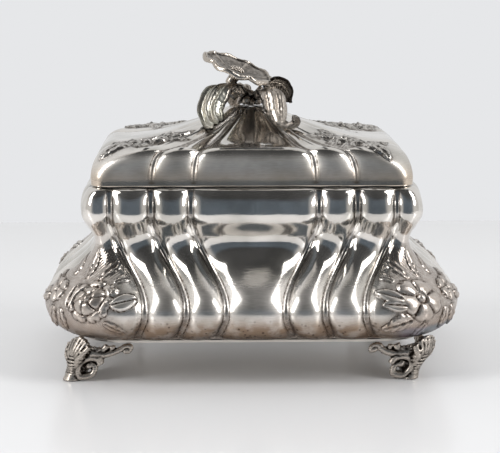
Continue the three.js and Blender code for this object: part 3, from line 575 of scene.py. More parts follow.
def lid_plan(share, out, inwards):
    """The lid's outline at a share of its rim, or that of a skin further inwards."""
    to_apex = (1 - share) / (1 - LID_APEX_SHARE)
    half_x, half_y = RIM_X * share - inwards * out, RIM_Y * share - inwards * out
    turn = to_apex * to_apex
    front = np.array([mix(0.375, 0.43, turn), mix(0.628, 0.52, turn)]) * half_x
    side = np.array([mix(0.56, 0.5, turn)]) * half_y
    grow = ease(math.sqrt(min(1, (1 - share) / (1 - LID_SHOULDER_SHARE))))
    low = (RIM_X - FRONT_FLUTES[-1], RIM_Y - SIDE_FLUTES[-1])
    high = 0.6 * (half_x - front[-1]), 0.6 * (half_y - side[-1])
    corner = tuple(mix(mix(low[k], LID_CORNER[k], grow) - inwards * out, high[k], to_apex) for k in (0, 1))
    power = mix(CORNER_POWER, 2.0, grow)
    return dict(half_x=half_x, half_y=half_y, front=front, side=side, corner=corner, power=power)


def lid_fade(z):
    """How far the flutes have grown at a height above the lid's edge, 0 to 1."""
    return float(np.clip((z - LID_Z - 1.0) / 7, 0, 1))


def lid_level(plan, columns, share, z, out, up, drop=0.0):
    """Points of one level of the lid's roof, or of the skin that lies below it."""
    fade, scale = lid_fade(z), mix(0.45, 1, share)
    channel, channel_cut = max(0.05, CHANNEL * 0.9 * fade**0.7 * scale), 0.45 * fade * scale
    if drop:
        channel, channel_cut = INNER_CHANNEL, 0
    roll = LID_ROLL * mix(0.2, 1, share)
    depth = flute_depth(columns, LID_CUT * fade**0.6 * scale, roll, channel, channel_cut)
    return shift_middle(level(columns, z - drop * up, out, up, depth), plan["half_x"])


def lid_relief(columns, share, along):
    """How far the garland stands up on each column of one level."""
    relief = np.zeros(len(columns))
    own = ~np.isnan(columns[:, 6])
    fade_in = np.clip(columns[own, 4] / 1.5 - 0.8, 0, 1) * np.clip((share - 0.16) / 0.06, 0, 1)
    s = columns[own, 6] * np.where(columns[own, 7] % 2 == 0, 1, -1)
    drift = 4.5 * (1 - along / 52)
    relief[own] = lid_garland(s + drift, np.full(s.shape, along)) * fade_in
    return relief


def lid_shell():
    """The lid's roof with its chased corners, its inner skin and the hole for the stud."""
    share, z, out, up = lid_profile()
    steps = np.hypot(np.diff(z), np.diff(share) * math.hypot(RIM_X, RIM_Y))
    along = np.concatenate([[0], np.cumsum(steps)])
    rows, dark, reliefs, sides = [], [], [], []
    for i in range(len(z)):
        plan = lid_plan(share[i], out[i], 0)
        columns = whole(plan)
        rows.append(lid_level(plan, columns, share[i], z[i], out[i], up[i]))
        sides.append(outward(columns, out[i], up[i]))
        # painted dark reflection along the lid's flutes, with some stain
        dark.append(flute_dark_reflection(columns[:, 4], mix(0.45, 1, share[i])) * lid_fade(z[i]))
        reliefs.append(lid_relief(columns, share[i], along[i]))
    reliefs = np.array(reliefs)
    outer = np.array(rows) + np.array(sides) * reliefs[:, :, None]
    touched = 0.3 * np.clip(blurred((reliefs > 0.05).astype(float), 1), 0, 1)
    dark = np.maximum(np.array(dark), 0.8 * np.maximum(stain_in(reliefs), touched))
    inner = []
    for i in range(len(z) - 1, -1, -5):
        plan = lid_plan(share[i], out[i], SHEET)
        inner.append(lid_level(plan, whole(plan), share[i], z[i], out[i], up[i], SHEET))
    angle = np.arctan2(outer[-1][:, 1] / RIM_Y, outer[-1][:, 0] / RIM_X)
    edge = np.stack([1.5 * np.cos(angle), 1.5 * np.sin(angle), np.zeros(len(angle))], 1)
    hole = [edge + [0, 0, height] for height in (APEX_Z, APEX_Z - SHEET)]
    return shell("lid_roof", outer, dark, [*hole, *inner])


# ------------------------------------------------------------------- cast pieces
def spline(points, count):
    """Evenly spaced places on a smooth curve through the points."""
    p = np.asarray(points, float)
    p = np.vstack([2 * p[0] - p[1], p, 2 * p[-1] - p[-2]])
    t = np.linspace(0, 1, 20, endpoint=False)[:, None]
    runs = []
    for a, b, c, d in zip(p, p[1:], p[2:], p[3:]):
        bend = (2 * a - 5 * b + 4 * c - d) * t**2 + (3 * b - a - 3 * c + d) * t**3
        runs.append(b + ((c - a) * t + bend) / 2)
    curve = np.vstack([*runs, p[-2:-1]])
    along = np.concatenate([[0], np.cumsum(np.linalg.norm(np.diff(curve, axis=0), axis=1))])
    want = np.linspace(0, along[-1], count)
    return np.stack([np.interp(want, along, curve[:, k]) for k in range(3)], 1)


def frames(path, across):
    """The sideways and upward directions at each place of a path."""
    tangent = np.gradient(path, axis=0)
    tangent /= np.linalg.norm(tangent, axis=1)[:, None]
    across = np.asarray(across, float)
    side = across - tangent * (tangent @ across)[:, None]
    side /= np.linalg.norm(side, axis=1)[:, None]
    return side, np.cross(tangent, side)


def tube(points, radii, across=(0, 1, 0), flat=1.0, around=12, ridges=0, ridge=0.12):
    """A round or flattened bar along a curve, with rounded ends and ridges round it."""
    count = max(12, 6 * len(points), 5 * ridges)
    path = spline(points, count)
    side, up = frames(path, across)
    s = np.linspace(0, 1, count)
    radius = np.interp(s, np.linspace(0, 1, len(radii)), radii)
    radius = radius * (1 + ridge * np.cos(2 * np.pi * ridges * s)) if ridges else radius
    angle = np.linspace(0, 2 * np.pi, around, endpoint=False)
    ring = side[:, None] * (flat * np.cos(angle))[None, :, None] + up[:, None] * np.sin(angle)[None, :, None]
    rows = path[:, None] + ring * radius[:, None, None]
    return rows.reshape(-1, 3), capped_faces(count, around)


def ball(centre, radius, stretch=(1, 1, 1)):
    """A ball as rings between two poles."""
    rings, around = 8, 12
    polar = np.linspace(0, np.pi, rings + 2)[1:-1]
    angle = np.linspace(0, 2 * np.pi, around, endpoint=False)
    x = np.outer(np.sin(polar), np.cos(angle))
    y = np.outer(np.sin(polar), np.sin(angle))
    z = -np.cos(polar)[:, None] * np.ones(around)
    points = np.stack([x, y, z], 2).reshape(-1, 3) * radius * np.asarray(stretch) + np.asarray(centre)
    return points, capped_faces(rings, around)


def finished(thing):
    """The object's shape with its modifiers applied, as a plain mesh."""
    graph = bpy.context.evaluated_depsgraph_get()
    mesh = bpy.data.meshes.new_from_object(thing.evaluated_get(graph))
    thing.modifiers.clear()
    old, thing.data = thing.data, mesh
    bpy.data.meshes.remove(old)
    mesh.shade_smooth()
    return thing


def hollows(thing, reach, gain, soot):
    """Stores how deep in a hollow each point lies, from how its neighbours stand above it. The
    whole piece is sooted by a further amount, which edges that stand out have rubbed off."""
    mesh = thing.data
    count = len(mesh.vertices)
    points, normals = np.empty(count * 3), np.empty(count * 3)
    mesh.vertices.foreach_get("co", points)
    mesh.vertex_normals.foreach_get("vector", normals)
    points, normals = points.reshape(-1, 3) / MM, normals.reshape(-1, 3)
    edges = np.empty(len(mesh.edges) * 2, int)
    mesh.edges.foreach_get("vertices", edges)
    a, b = edges.reshape(-1, 2).T
    links = np.bincount(a, minlength=count) + np.bincount(b, minlength=count)

    def mean(values):
        total = np.bincount(a, values[b], count) + np.bincount(b, values[a], count)
        return total / np.maximum(links, 1)

    far = points
    for _ in range(reach):
        far = np.stack([mean(far[:, k]) for k in range(3)], 1)
    depth = ((far - points) * normals).sum(1)
    for _ in range(2):
        depth = mean(depth)
    store(thing, "tarnish_and_dark_reflection", np.clip(depth * gain + soot * np.clip(1 + depth * 25, 0, 1), 0, 1))
    return thing


CAST_GRAIN = 0.3


def cast(name, parts, polish, soot):
    """Bars and balls run together into one casting."""
    points, faces, start = [], [], 0
    for part, sides in parts:
        points.append(part)
        faces += [[v + start for v in face] for face in sides]
        start += len(part)
    thing = mesh_object(name, np.concatenate(points), faces)
    remesh = thing.modifiers.new("cast", "REMESH")
    remesh.mode = "VOXEL"
    remesh.voxel_size = CAST_GRAIN * MM
    smooth = thing.modifiers.new("polish", "SMOOTH")
    smooth.iterations = polish
    return hollows(finished(thing), 5, 6, soot)


FOOT_TOP_Z = node_box("foot_front_left")[1][2]
FOOT_X = HALF_X - BASE_INSET + 1.5
FOOT_Y = HALF_Y - BASE_INSET + 1.5
FOOT_LEAN = 4.5
FOOT_SIDES = {
    "front_left": (-1, -1),
    "front_right": (1, -1),
    "back_right": (1, 1),
    "back_left": (-1, 1),
}


def foot_wing():
    """One face of a foot as [u inwards from the heel, w from the face, z]: scroll, bracket, arm."""
    centre = np.array([6.8, 0.6, 4.9])

    def turn(degrees, radius):
        a = math.radians(degrees)
        return centre + np.array([radius * math.cos(a), 0, radius * math.sin(a)])

    rim = [turn(12, 4.4), turn(50, 4.2), *[turn(a, 3.9) for a in range(90, 280, 38)]]
    curl = [turn(305, 3.5), turn(350, 2.7), turn(400, 1.8)]
    arm = [[6.2, 0.6, 10.2], [10.6, 0.5, 9.8], [14.5, 0.5, 10.6], [17.6, 0.5, 12.3]]
    tip = [[17.2, 0.5, 12.5], [19.2, 0.5, 13.1], [20.6, 0.5, 12.2], [20.2, 0.5, 10.9], [19.2, 0.5, 10.9]]
    bracket = [[2.6, 0.5, 13.2], [4.4, 0.5, 11.4], [7.6, 0.5, 10.2], [10.2, 0.5, 11.5], [11.4, 0.5, 13.4]]
    parts = [
        tube([*rim, *curl], [1.2, 1.7, 1.6, 1.5, 1.1], flat=1.3, around=10),
        ball(turn(430, 1.0), 1.7),
        tube([turn(120, 2.2), turn(200, 2.2), turn(260, 2.2)], [1.6, 2.0, 1.6], flat=0.35),
        tube([turn(12, 4.6), [9.6, 0.6, 8.8], [7.4, 0.6, 10]], [1.2, 1.8, 1.6]),
        tube(arm, [2.3, 1.6, 1.4, 1.2]),
        tube(tip, [1.2, 1.1, 1.0, 0.9]),
        ball([19.1, 0.5, 11.3], 1.3),
        tube(bracket, [2, 1.4, 1.3]),
        tube([[12.6, 0.5, 9.9], [13.6, 0.5, 11.4], [13.4, 0.5, 13.3]], [1.1, 1.0, 1.2]),
        tube([[4.4, 0.9, 2.0], [4.0, 0.9, 6], [4.6, 0.9, 10.2]], [1.4, 2.0, 2.4], flat=0.6),
    ]
    for k in range(5):  # leaf ribs spreading below the box
        foot = np.array([2.6, 0.6, 7.6])
        end = np.array([1.6 + 1.9 * k, 0.2, 13.4 - 0.4 * abs(k - 1)])
        parts.append(tube([foot, (foot + end) / 2 + [0, -0.5, 0], end], [1.0, 1.35, 1.1], around=8))
    return parts


def foot_leg():
    """The ridged leg on the corner and the shell that spreads over it under the bowl."""
    spine = [[2.6, 2.6, 13.4], [1.9, 1.9, 10.5], [1.5, 1.5, 7.5], [1.9, 1.9, 4.2], [1.8, 1.8, 1.4]]
    parts = [
        tube(spine, [4.6, 4.0, 3.1, 2.6, 2.6], (1, -1, 0), 1.1, 16, 14, 0.14),
        tube([[1.7, 1.7, 2.6], [1.7, 1.7, 0]], [2.5, 3.2], (1, -1, 0), 1.1, 16),
    ]
    for k in range(-3, 4):
        root = np.array([1.0, 1.0, 6.4])
        tip = np.array([0.9 + 1.3 * k, 0.9 - 1.3 * k, 16.4 - 0.3 * k * k])
        bulge = (root + tip) / 2 + [-1.1 + 0.15 * k, -1.1 - 0.15 * k, -0.2 * abs(k)]
        parts.append(tube([root, bulge, tip], [0.9, 1.5 - 0.1 * abs(k), 1.7 - 0.2 * abs(k)], around=10))
    for turn in (-1, 1):  # a leaf curling outwards on each side of the leg
        low = [[1.4, 1.4, 4.6], [0.6 + 1.5 * turn, 0.6 - 1.5 * turn, 7.2]]
        high = [[0.4 + 2.6 * turn, 0.4 - 2.6 * turn, 10.2], [-0.4 + 2.9 * turn, -0.4 - 2.9 * turn, 12.2]]
        parts.append(tube(low + high, [0.9, 1.4, 1.5, 1.1], around=10, ridges=6, ridge=0.12))
    return parts


def foot(name, x, y):
    """A cast foot at the corner on side [x, y]."""
    wing = foot_wing()
    across = [(points[:, [1, 0, 2]], [face[::-1] for face in faces]) for points, faces in wing]
    parts = []
    for points, faces in [*wing, *across, *foot_leg()]:
        u, w, z = points[:, 0], points[:, 1], points[:, 2]
        ceiling = FOOT_TOP_Z + 4 * np.clip(2 - np.minimum(u, w), 0, 1)
        z = np.clip(z, 0, ceiling)
        lean = FOOT_LEAN * (1 - z / FOOT_TOP_Z)
        place = np.stack([x * (FOOT_X - u) - lean, y * (FOOT_Y - w), z], 1)
        parts.append((place, faces if x * y > 0 else [face[::-1] for face in faces]))
    return cast(name, parts, 1, 0.5)


FINIAL_Z = APEX_Z + 0.3
BLOSSOM_RADIUS = 15
BLOSSOM_CENTRE = np.array([-5.6, 0, APEX_Z + 12.6])
BLOSSOM_TILT = np.array(Matrix.Rotation(0.16, 3, "X") @ Matrix.Rotation(0.37, 3, "Y"))


def on_blossom(points):
    """Points about the blossom's own middle, tilted and set on the stem."""
    return np.asarray(points) @ BLOSSOM_TILT.T + BLOSSOM_CENTRE


def blossom_surface(share, angle):
    """A place on the blossom: a broad dish of five petals that run together, ruffled at the rim."""
    turn = (angle * 5 / (2 * np.pi)) % 1
    petal = np.sin(np.pi * turn)
    reach = 0.9 + 0.1 * petal**0.5
    radius = BLOSSOM_RADIUS * share * mix(1, reach, share)
    ridge = 0.7 * np.exp(-((np.minimum(turn, 1 - turn) / 0.09) ** 2)) * share * (1.15 - share)
    ruffle = 0.45 * np.cos(2 * np.pi * 2 * turn) * share**6
    cup = 4.2 * share**2 - 1.9 * share**7
    return np.stack([radius * np.cos(angle), radius * np.sin(angle), cup + ridge + ruffle], -1)


def blossom():
    """The dished blossom with a thick scalloped rim."""
    around = 240
    angle = np.linspace(0, 2 * np.pi, around, endpoint=False)
    shares = np.concatenate([np.linspace(0.05, 0.86, 26), np.linspace(0.875, 1, 11)])
    top, under = [], []
    for share in shares:
        row = blossom_surface(np.full(around, share), angle)
        bead = np.sqrt(np.clip(1 - ((share - 0.94) / 0.06) ** 2, 0, 1))
        scallop = 1 + 0.07 * np.cos(angle * 44 + 9 * share)
        top.append(row + [0, 0, 1] * (0.35 + 0.75 * bead * scallop)[:, None])
        under.append(row - [0, 0, 1] * (0.4 + 0.45 * bead * scallop)[:, None])
    rows = [*under, *top[::-1]]
    points = on_blossom(np.concatenate(rows))
    return hollows(mesh_object("blossom", points, capped_faces(len(rows), around)), 4, 3, 0.42)


def leaf_blade(name, midrib, half_width, across, droop, folds, fold, tail=0.2, soot=0.0):
    """A folded leaf along its midrib, with a toothed edge, an even thickness and a narrow tail."""
    count, wide = 90, 49
    path = spline(midrib, count)
    side, up = frames(path, across)
    s, t = np.linspace(0, 1, count)[:, None], np.linspace(-1, 1, wide)[None, :]
    body = np.clip(s / (1 - tail), 0, 1)
    half = half_width * np.sin(np.pi * np.clip(0.14 + 0.8 * body, 0, 0.97)) ** 0.7
    half = np.maximum(0.7, half * (1 + 0.12 * np.abs(np.sin(np.pi * 5 * s)) * body))
    pleat = fold * np.cos(np.pi * folds * t + 3.2 * s) * np.clip(3 * s, 0.2, 1) * (half / half_width)
    veins = 0.04 * np.cos(2 * np.pi * (12 * s - 2.5 * np.abs(t)))
    lift = -droop * half * t * t + pleat + veins - 0.3 * np.exp(-((t / 0.07) ** 2))
    middle = path[:, None] + side[:, None] * (half * t)[..., None] + up[:, None] * lift[..., None]
    thick = 0.5 + 0.25 * np.exp(-(((np.abs(t) - 0.93) / 0.05) ** 2))[..., None] * np.ones((count, 1, 1))
    thing = mesh_object(name, *slab(middle + up[:, None] * thick, middle - up[:, None] * thick))
    return hollows(thing, 4, 2.5, soot)


def roof_z(x, y):
    """The height of the lid's roof at a place near its apex."""
    share = max(abs(x) / RIM_X, abs(y) / RIM_Y)
    s = np.clip((LID_SHOULDER_SHARE - share) / (LID_SHOULDER_SHARE - LID_APEX_SHARE), 0, 1)
    return mix(LID_SHOULDER_Z, APEX_Z, s**LID_HOLLOW)


def over_roof(x, y, above):
    """A place at a height above the lid's roof."""
    return [x, y, roof_z(x, y) + above]


def leaves():
    """The casting's four large leaves, each by the CAD node it stands for."""
    z = FINIAL_Z
    left = [[-3.6, -3.6, z + 4.2], [-7.5, -5.6, z + 8], [-12.6, -9, z + 7.4]]
    left += [over_roof(-15.8, -12.6, 6.4), over_roof(-15.2, -16, 3.4), over_roof(-13, -19.5, 2.8)]
    right = [[3.8, -4, z + 4], [6, -7.2, z + 6.6], [8.8, -10.6, z + 5], over_roof(10.2, -14, 4.6)]
    right += [over_roof(11.2, -17.2, 2.4), over_roof(13.6, -18.6, 1.6)]
    right += [over_roof(16.2, -19, 2.4), over_roof(17.2, -19.4, 4.0), over_roof(15.8, -19.8, 4.6)]
    back = [[-1.6, 5, z + 4], [-3.6, 8, z + 7], [-5.4, 11.6, z + 6.2]]
    back += [over_roof(-6, 15, 4.6), over_roof(-6, 17.6, 2.2)]
    side = [[5.2, 1.2, z + 7.6], [8.8, 2, z + 9.2], [12.8, 2.8, z + 8.0], [15.6, 3.4, z + 4.4]]
    side += [[16, 3.8, z + 0.6]]
    return {
        "finial_leaf_left": leaf_blade("leaf_left", left, 5.6, (0.9, -0.42, 0.1), 0.24, 2.8, 0.6, -0.12),
        "finial_leaf_right": leaf_blade("leaf_right", right, 5.2, (0.92, 0.38, 0), 0.2, 2.6, 0.6, 0.26),
        "finial_leaf_back": leaf_blade("leaf_back", back, 4.8, (-0.95, -0.3, 0), 0.25, 3, 0.35),
        "finial_leaf_side": leaf_blade("leaf_side", side, 5.2, (0.3, -0.7, 0.65), -0.4, 2, 0.15, 0.1, 0.6),
    }


def stem():
    """The boss on the lid, the blossom's stem and the stalks of the leaves."""
    z = FINIAL_Z
    neck, under = on_blossom([[0, 0, -4.9], [0, 0, -0.6]])
    parts = [
        ball([0, 0, z + 1.6], 3.2, (1.4, 1.4, 0.5)),
        tube([[0.6, 0, z + 0.8], [0.2, 0, z + 3.6], neck, under], [2.6, 2.1, 1.9, 2.4], ridges=5, ridge=0.06),
        tube([[0.4, 0.2, z + 1.2], [2.4, 0.8, z + 4.4], [4.6, 1.2, z + 7.2]], [1.4, 1.1, 1.0]),
        tube([[-0.8, -0.6, z + 1.4], [-2.6, -2.6, z + 3.4], [-4.4, -4, z + 5]], [1.6, 1.4, 1.2]),
        tube([[0.8, -0.8, z + 1.4], [2.6, -2.8, z + 3.2], [4.6, -4.8, z + 4.9]], [1.4, 1.2, 1.1]),
        tube([[-0.4, 0.8, z + 1.4], [-1, 3, z + 3], [-2, 5.6, z + 4.8]], [1.3, 1.1, 1.0]),
        ball([-1.4, -3.6, z + 2.2], 1.7),
        ball([2.8, -2.6, z + 1.7], 1.5),
        ball([-3.4, 1.2, z + 1.9], 1.6),
    ]
    for k in range(9):  # small leaves lying round the boss
        a = 2 * np.pi * k / 9
        out = np.array([math.cos(a), math.sin(a), 0])
        rise = np.array([0, 0, 1])
        line = [out * 1.5 + rise * (z + 2.3), out * 4 + rise * (z + 1.7), out * 5.2 + rise * (z + 0.7)]
        parts.append(tube(line, [0.7, 1.1, 0.6]))
    return cast("stem", parts, 2, 0.75)


# ------------------------------------------------------- Geometry Nodes: set beads
def bead_setter():
    """A node tree that sets a bead on every point of a mesh."""
    tree = bpy.data.node_groups.new("set_beads", "GeometryNodeTree")
    face = tree.interface
    face.new_socket("Geometry", in_out="INPUT", socket_type="NodeSocketGeometry")
    radius = face.new_socket("Bead radius", in_out="INPUT", socket_type="NodeSocketFloat")
    finish = face.new_socket("Finish", in_out="INPUT", socket_type="NodeSocketMaterial")
    face.new_socket("Geometry", in_out="OUTPUT", socket_type="NodeSocketGeometry")
    start = add_node(tree, "NodeGroupInput").outputs
    bead = add_node(tree, "GeometryNodeMeshIcoSphere", {"Radius": start["Bead radius"], "Subdivisions": 2})
    size = add_node(tree, "FunctionNodeRandomValue", {2: 0.85, 3: 1.15, "Seed": 4}, data_type="FLOAT")
    beads = add_node(
        tree,
        "GeometryNodeInstanceOnPoints",
        {"Points": start["Geometry"], "Instance": bead.outputs["Mesh"], "Scale": size.outputs[1]},
    )
    real = add_node(tree, "GeometryNodeRealizeInstances", {"Geometry": beads.outputs[0]})
    finish_set = {"Geometry": real.outputs[0], "Material": start["Finish"]}
    done = add_node(tree, "GeometryNodeSetMaterial", finish_set)
    add_node(tree, "NodeGroupOutput", {"Geometry": done.outputs[0]})
    return tree, radius.identifier, finish.identifier


def beads(name, points, radius, material):
    """A piece with a bead on each of the points."""
    tree, radius_key, finish_key = BEAD_SETTER
    thing = mesh_object(name, points, [])
    modifier = thing.modifiers.new("beads", "NODES")
    modifier.node_group = tree
    modifier[radius_key] = radius * MM
    modifier[finish_key] = material
    return finished(thing)


def stamens():
    """Seed-like beads in a spiral on the blossom's middle."""
    k = np.arange(34)
    share = np.sqrt((k + 0.5) / len(k))
    angle = k * math.radians(137.5)
    height = 1.75 + 0.9 * (1 - share**2)
    places = np.stack([2.7 * share * np.cos(angle), 2.7 * share * np.sin(angle), height], 1)
    return beads("stamens", on_blossom(places), 0.52, CAST)


# --------------------------------------------------------------------- materials
def add_node(tree, kind, inputs=None, **settings):
    """Adds a node. An input's value may be a plain value or the socket to link it from."""
    node = tree.nodes.new(kind)
    for key, value in settings.items():
        setattr(node, key, value)
    for key, value in (inputs or {}).items():
        if isinstance(value, bpy.types.NodeSocket):
            tree.links.new(value, node.inputs[key])
        else:
            node.inputs[key].default_value = value
    return node


def per(size):
    """A pattern's scale for features of a size in mm, on coordinates in metres."""
    return 1 / (size * MM)


def noise(tree, place, size, detail=3.0):
    """Soft noise with features of a size in mm."""
    inputs = {"Vector": place, "Scale": per(size), "Detail": detail}
    return add_node(tree, "ShaderNodeTexNoise", inputs).outputs["Fac"]


def remap(tree, value, from_low, from_high, to_low=0.0, to_high=1.0):
    inputs = {0: value, 1: from_low, 2: from_high, 3: to_low, 4: to_high}
    return add_node(tree, "ShaderNodeMapRange", inputs, interpolation_type="SMOOTHSTEP").outputs[0]


def maths(tree, operation, a, b):
    return add_node(tree, "ShaderNodeMath", {0: a, 1: b}, operation=operation).outputs[0]


def times(tree, a, b):
    """One value multiplied by another."""
    return maths(tree, "MULTIPLY", a, b)


def size_of(tree, value):
    """A value without its sign."""
    return maths(tree, "ABSOLUTE", value, 0.0)


def axes(tree, place):
    """The x, y and z of a place or direction."""
    return add_node(tree, "ShaderNodeSeparateXYZ", {0: place}).outputs


def fades(tree, value, full, none, amount=1.0):
    """An amount, in full up to one size in mm and gone at another. Either may be the larger."""
    if full < none:
        return remap(tree, value, full * MM, none * MM, amount, 0.0)
    return remap(tree, value, none * MM, full * MM, 0.0, amount)


def blend(tree, amount, a, b):
    """Colour a going over to colour b."""
    node = tree.nodes.new("ShaderNodeMix")
    node.data_type = "RGBA"
    for key, value in {"Factor": amount, "A": a, "B": b}.items():
        socket = next(i for i in node.inputs if i.name == key and i.enabled)
        if isinstance(value, bpy.types.NodeSocket):
            tree.links.new(value, socket)
        else:
            socket.default_value = value
    return next(o for o in node.outputs if o.enabled)


TAN_BELOW = 29  # height up to which the wall is tan: tarnish bloom, and painted reflection of the shaded table under the belly
STAIN_TINT = ((0.35, "#9A7C90"), (0.65, "#7F909C"))  # purple and blue of thin sulphide
TINT_Z = 19.5


def corner_share(tree, place):
    """How far a place lies on one of the bowl's corners, 0 to 1."""
    x, y, z = axes(tree, place)
    x = fades(tree, size_of(tree, x), 58, 47)
    y = fades(tree, size_of(tree, y), 36, 24)
    return times(tree, times(tree, x, y), fades(tree, z, 44, 60))


def tan_bloom_and_table_reflection(tree, colour, place):
    """Tan low on the wall, partly tarnish bloom and partly painted reflection of the shaded table under the
    belly, with dark pits.
    """
    height = axes(tree, place)["Z"]
    patches = remap(tree, noise(tree, place, 5, 5.0), 0.35, 0.6, 0.6, 1.0)
    tan_amount = times(tree, fades(tree, height, 21.5, TAN_BELOW), patches)
    # tan of bloom and painted reflection of the shaded table
    colour = blend(tree, tan_amount, colour, srgb("#98826F"))
    pits = add_node(tree, "ShaderNodeTexVoronoi", {"Vector": place, "Scale": per(2.4)}).outputs["Distance"]
    pits = times(tree, remap(tree, pits, 0.1, 0.3, 0.9, 0.0), tan_amount)
    return blend(tree, pits, colour, srgb("#4A382D"))


def browned_and_shaded(tree, colour, place, fine):
    """Brown film on the lid's edge and on the bowl's corners, with painted shade darkening the corners under
    the belly, and a purple and blue edge on the front right corner."""
    x, y, height = axes(tree, place)
    lid_edge = times(tree, fades(tree, height, 73.2, 72.9), fades(tree, height, 74, 83, 0.5))
    colour = blend(tree, lid_edge, colour, srgb("#C9AE8F"))
    corner = corner_share(tree, place)
    brown = times(tree, corner, remap(tree, fine, 0.25, 0.7, 0.45, 0.8))
    colour = blend(tree, brown, colour, srgb("#B3A69C"))
    # painted shade on the corners under the belly
    colour = blend(tree, times(tree, corner, fades(tree, height, 16.5, 23, 0.8)), colour, srgb("#6F6259"))
    from_band = size_of(tree, maths(tree, "SUBTRACT", height, TINT_Z * MM))
    band = times(tree, fades(tree, from_band, 1.2, 3.5, 0.6), corner)
    here = times(tree, fades(tree, x, 56, 50), fades(tree, y, -36, -30))
    tint = add_node(tree, "ShaderNodeValToRGB", {0: noise(tree, place, 9, 1.0)})
    for stop, (at, code) in zip(tint.color_ramp.elements, STAIN_TINT):
        stop.position = at
        stop.color = srgb(code)
    return blend(tree, times(tree, band, here), colour, tint.outputs[0])


def greened(tree, colour, place, cloud):
    """Green patina on the left leaf of the casting."""
    x, _, height = axes(tree, place)
    band = times(tree, fades(tree, height, 95, 90), fades(tree, height, 107, 109))
    left = times(tree, fades(tree, x, -11, -8), band)
    green = times(tree, left, remap(tree, cloud, 0.35, 0.6, 0.2, 0.6))
    return blend(tree, green, colour, srgb("#B6BAAE"))


def hazy_film(tree, place, cloud, rub, film_z, bowl):
    """How thick the hazy film is: full below film_z, on the lid's side and in clouds."""
    height = axes(tree, place)["Z"]
    film = maths(tree, "MAXIMUM", fades(tree, height, *film_z), remap(tree, cloud, 0.55, 0.8, 0.0, 0.6))
    if bowl:
        on_lid = times(tree, fades(tree, height, 76.5, 73.5, 1.35), fades(tree, height, 82.5, 86.5))
        film = maths(tree, "MAXIMUM", film, on_lid)
        film = maths(tree, "ADD", film, times(tree, corner_share(tree, place), 0.25))
    return times(tree, film, remap(tree, rub, 0.2, 0.8, 0.9, 1.08))


def silver(name, clean, stain_and_reflection_colour, polish, haze, film_z, hollow_gain=1.0, bowl=False):
    """Silver worn bright where hands rub it. A hazy film lies over the polish, brown-black sulphide stays in
    the hollows, and a dark reflection is painted along the flutes of the bowl and lid."""
    material = bpy.data.materials.new(name)
    material.use_nodes = True
    tree = material.node_tree
    tree.nodes.clear()
    place = add_node(tree, "ShaderNodeTexCoord").outputs["Object"]
    tarnish_and_dark_reflection = add_node(tree, "ShaderNodeAttribute", attribute_name="tarnish_and_dark_reflection").outputs["Fac"]
    cloud, fine = noise(tree, place, 14), noise(tree, place, 1.1, 5.0)
    # sulphide in the hollows and painted dark reflection along the flutes, broken up by rubbing
    rubbed = remap(tree, fine, 0.3, 0.65, 0.55 * hollow_gain, 1.15 * hollow_gain)
    darkened = maths(tree, "MINIMUM", times(tree, tarnish_and_dark_reflection, rubbed), 1.0)
    if bowl:
        colour = blend(tree, remap(tree, cloud, 0.35, 0.7), srgb(clean), srgb("#CFCBC4"))
        # tan bloom with painted table reflection low on the wall, then brown film with painted shade under
        # the belly
        colour = browned_and_shaded(tree, tan_bloom_and_table_reflection(tree, colour, place), place, fine)
    else:
        colour = greened(tree, srgb(clean), place, cloud)
    colour = blend(tree, darkened, colour, srgb(stain_and_reflection_colour))
    # fine rubbing scratches
    turned = {"Vector": place, "Rotation": (0.0, 0.0, 0.5), "Scale": (1.0, 1.0, 9.0)}
    rub = noise(tree, add_node(tree, "ShaderNodeMapping", turned).outputs[0], 3.0, 6.0)
    film = hazy_film(tree, place, cloud, rub, film_z, bowl)
    gloss = remap(tree, film, 0.0, 1.5, polish, polish + 0.14)
    shine = maths(tree, "ADD", gloss, times(tree, darkened, 0.25))
    # slow waves left by the hammer, then the scratches
    waves = {"Height": noise(tree, place, 22, 1.0), "Strength": 0.22, "Distance": 0.004}
    waves = add_node(tree, "ShaderNodeBump", waves).outputs[0]
    dents = {"Height": rub, "Strength": 0.1, "Distance": 0.0002, "Normal": waves}
    dents = add_node(tree, "ShaderNodeBump", dents).outputs[0]
    # the clear polish and the misted film over it
    metal = {"Base Color": colour, "Metallic": 1.0, "Normal": dents}
    bright = add_node(tree, "ShaderNodeBsdfPrincipled", {**metal, "Roughness": shine})
    misted = add_node(tree, "ShaderNodeBsdfPrincipled", {**metal, "Roughness": 0.52})
    amount = maths(tree, "MINIMUM", remap(tree, film, 0.0, 2.0, haze * 0.15, haze * 1.8), 0.95)
    both = add_node(tree, "ShaderNodeMixShader", {0: amount, 1: bright.outputs[0], 2: misted.outputs[0]})
    add_node(tree, "ShaderNodeOutputMaterial", {"Surface": both.outputs[0]})
    return material


def belongs(thing, body, slot, material, *nodes):
    """Hangs a finished piece on its body, gives it its material and hides the CAD nodes it stands for."""
    thing.data.materials.clear()
    thing.data.materials.append(material)
    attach(thing, body)
    if nodes:
        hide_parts(*nodes)


BEAD_SETTER = bead_setter()
POLISHED = silver("polished_silver", "#EFEAE4", "#40332A", 0.085, 0.34, (34, 46), bowl=True)
CAST = silver("cast_silver", "#BFB6AC", "#1A1410", 0.17, 0.3, (100, 130), 1.45)
INNER = silver("inner_silver", "#E6DFD6", "#3A2C22", 0.25, 0.6, (100, 130))
HINGE = silver("hinge_silver", "#D2CCC4", "#2A211B", 0.17, 0.2, (100, 130))
FITTINGS = silver("fittings", "#B9B3AB", "#2A211B", 0.3, 0.5, (100, 130))

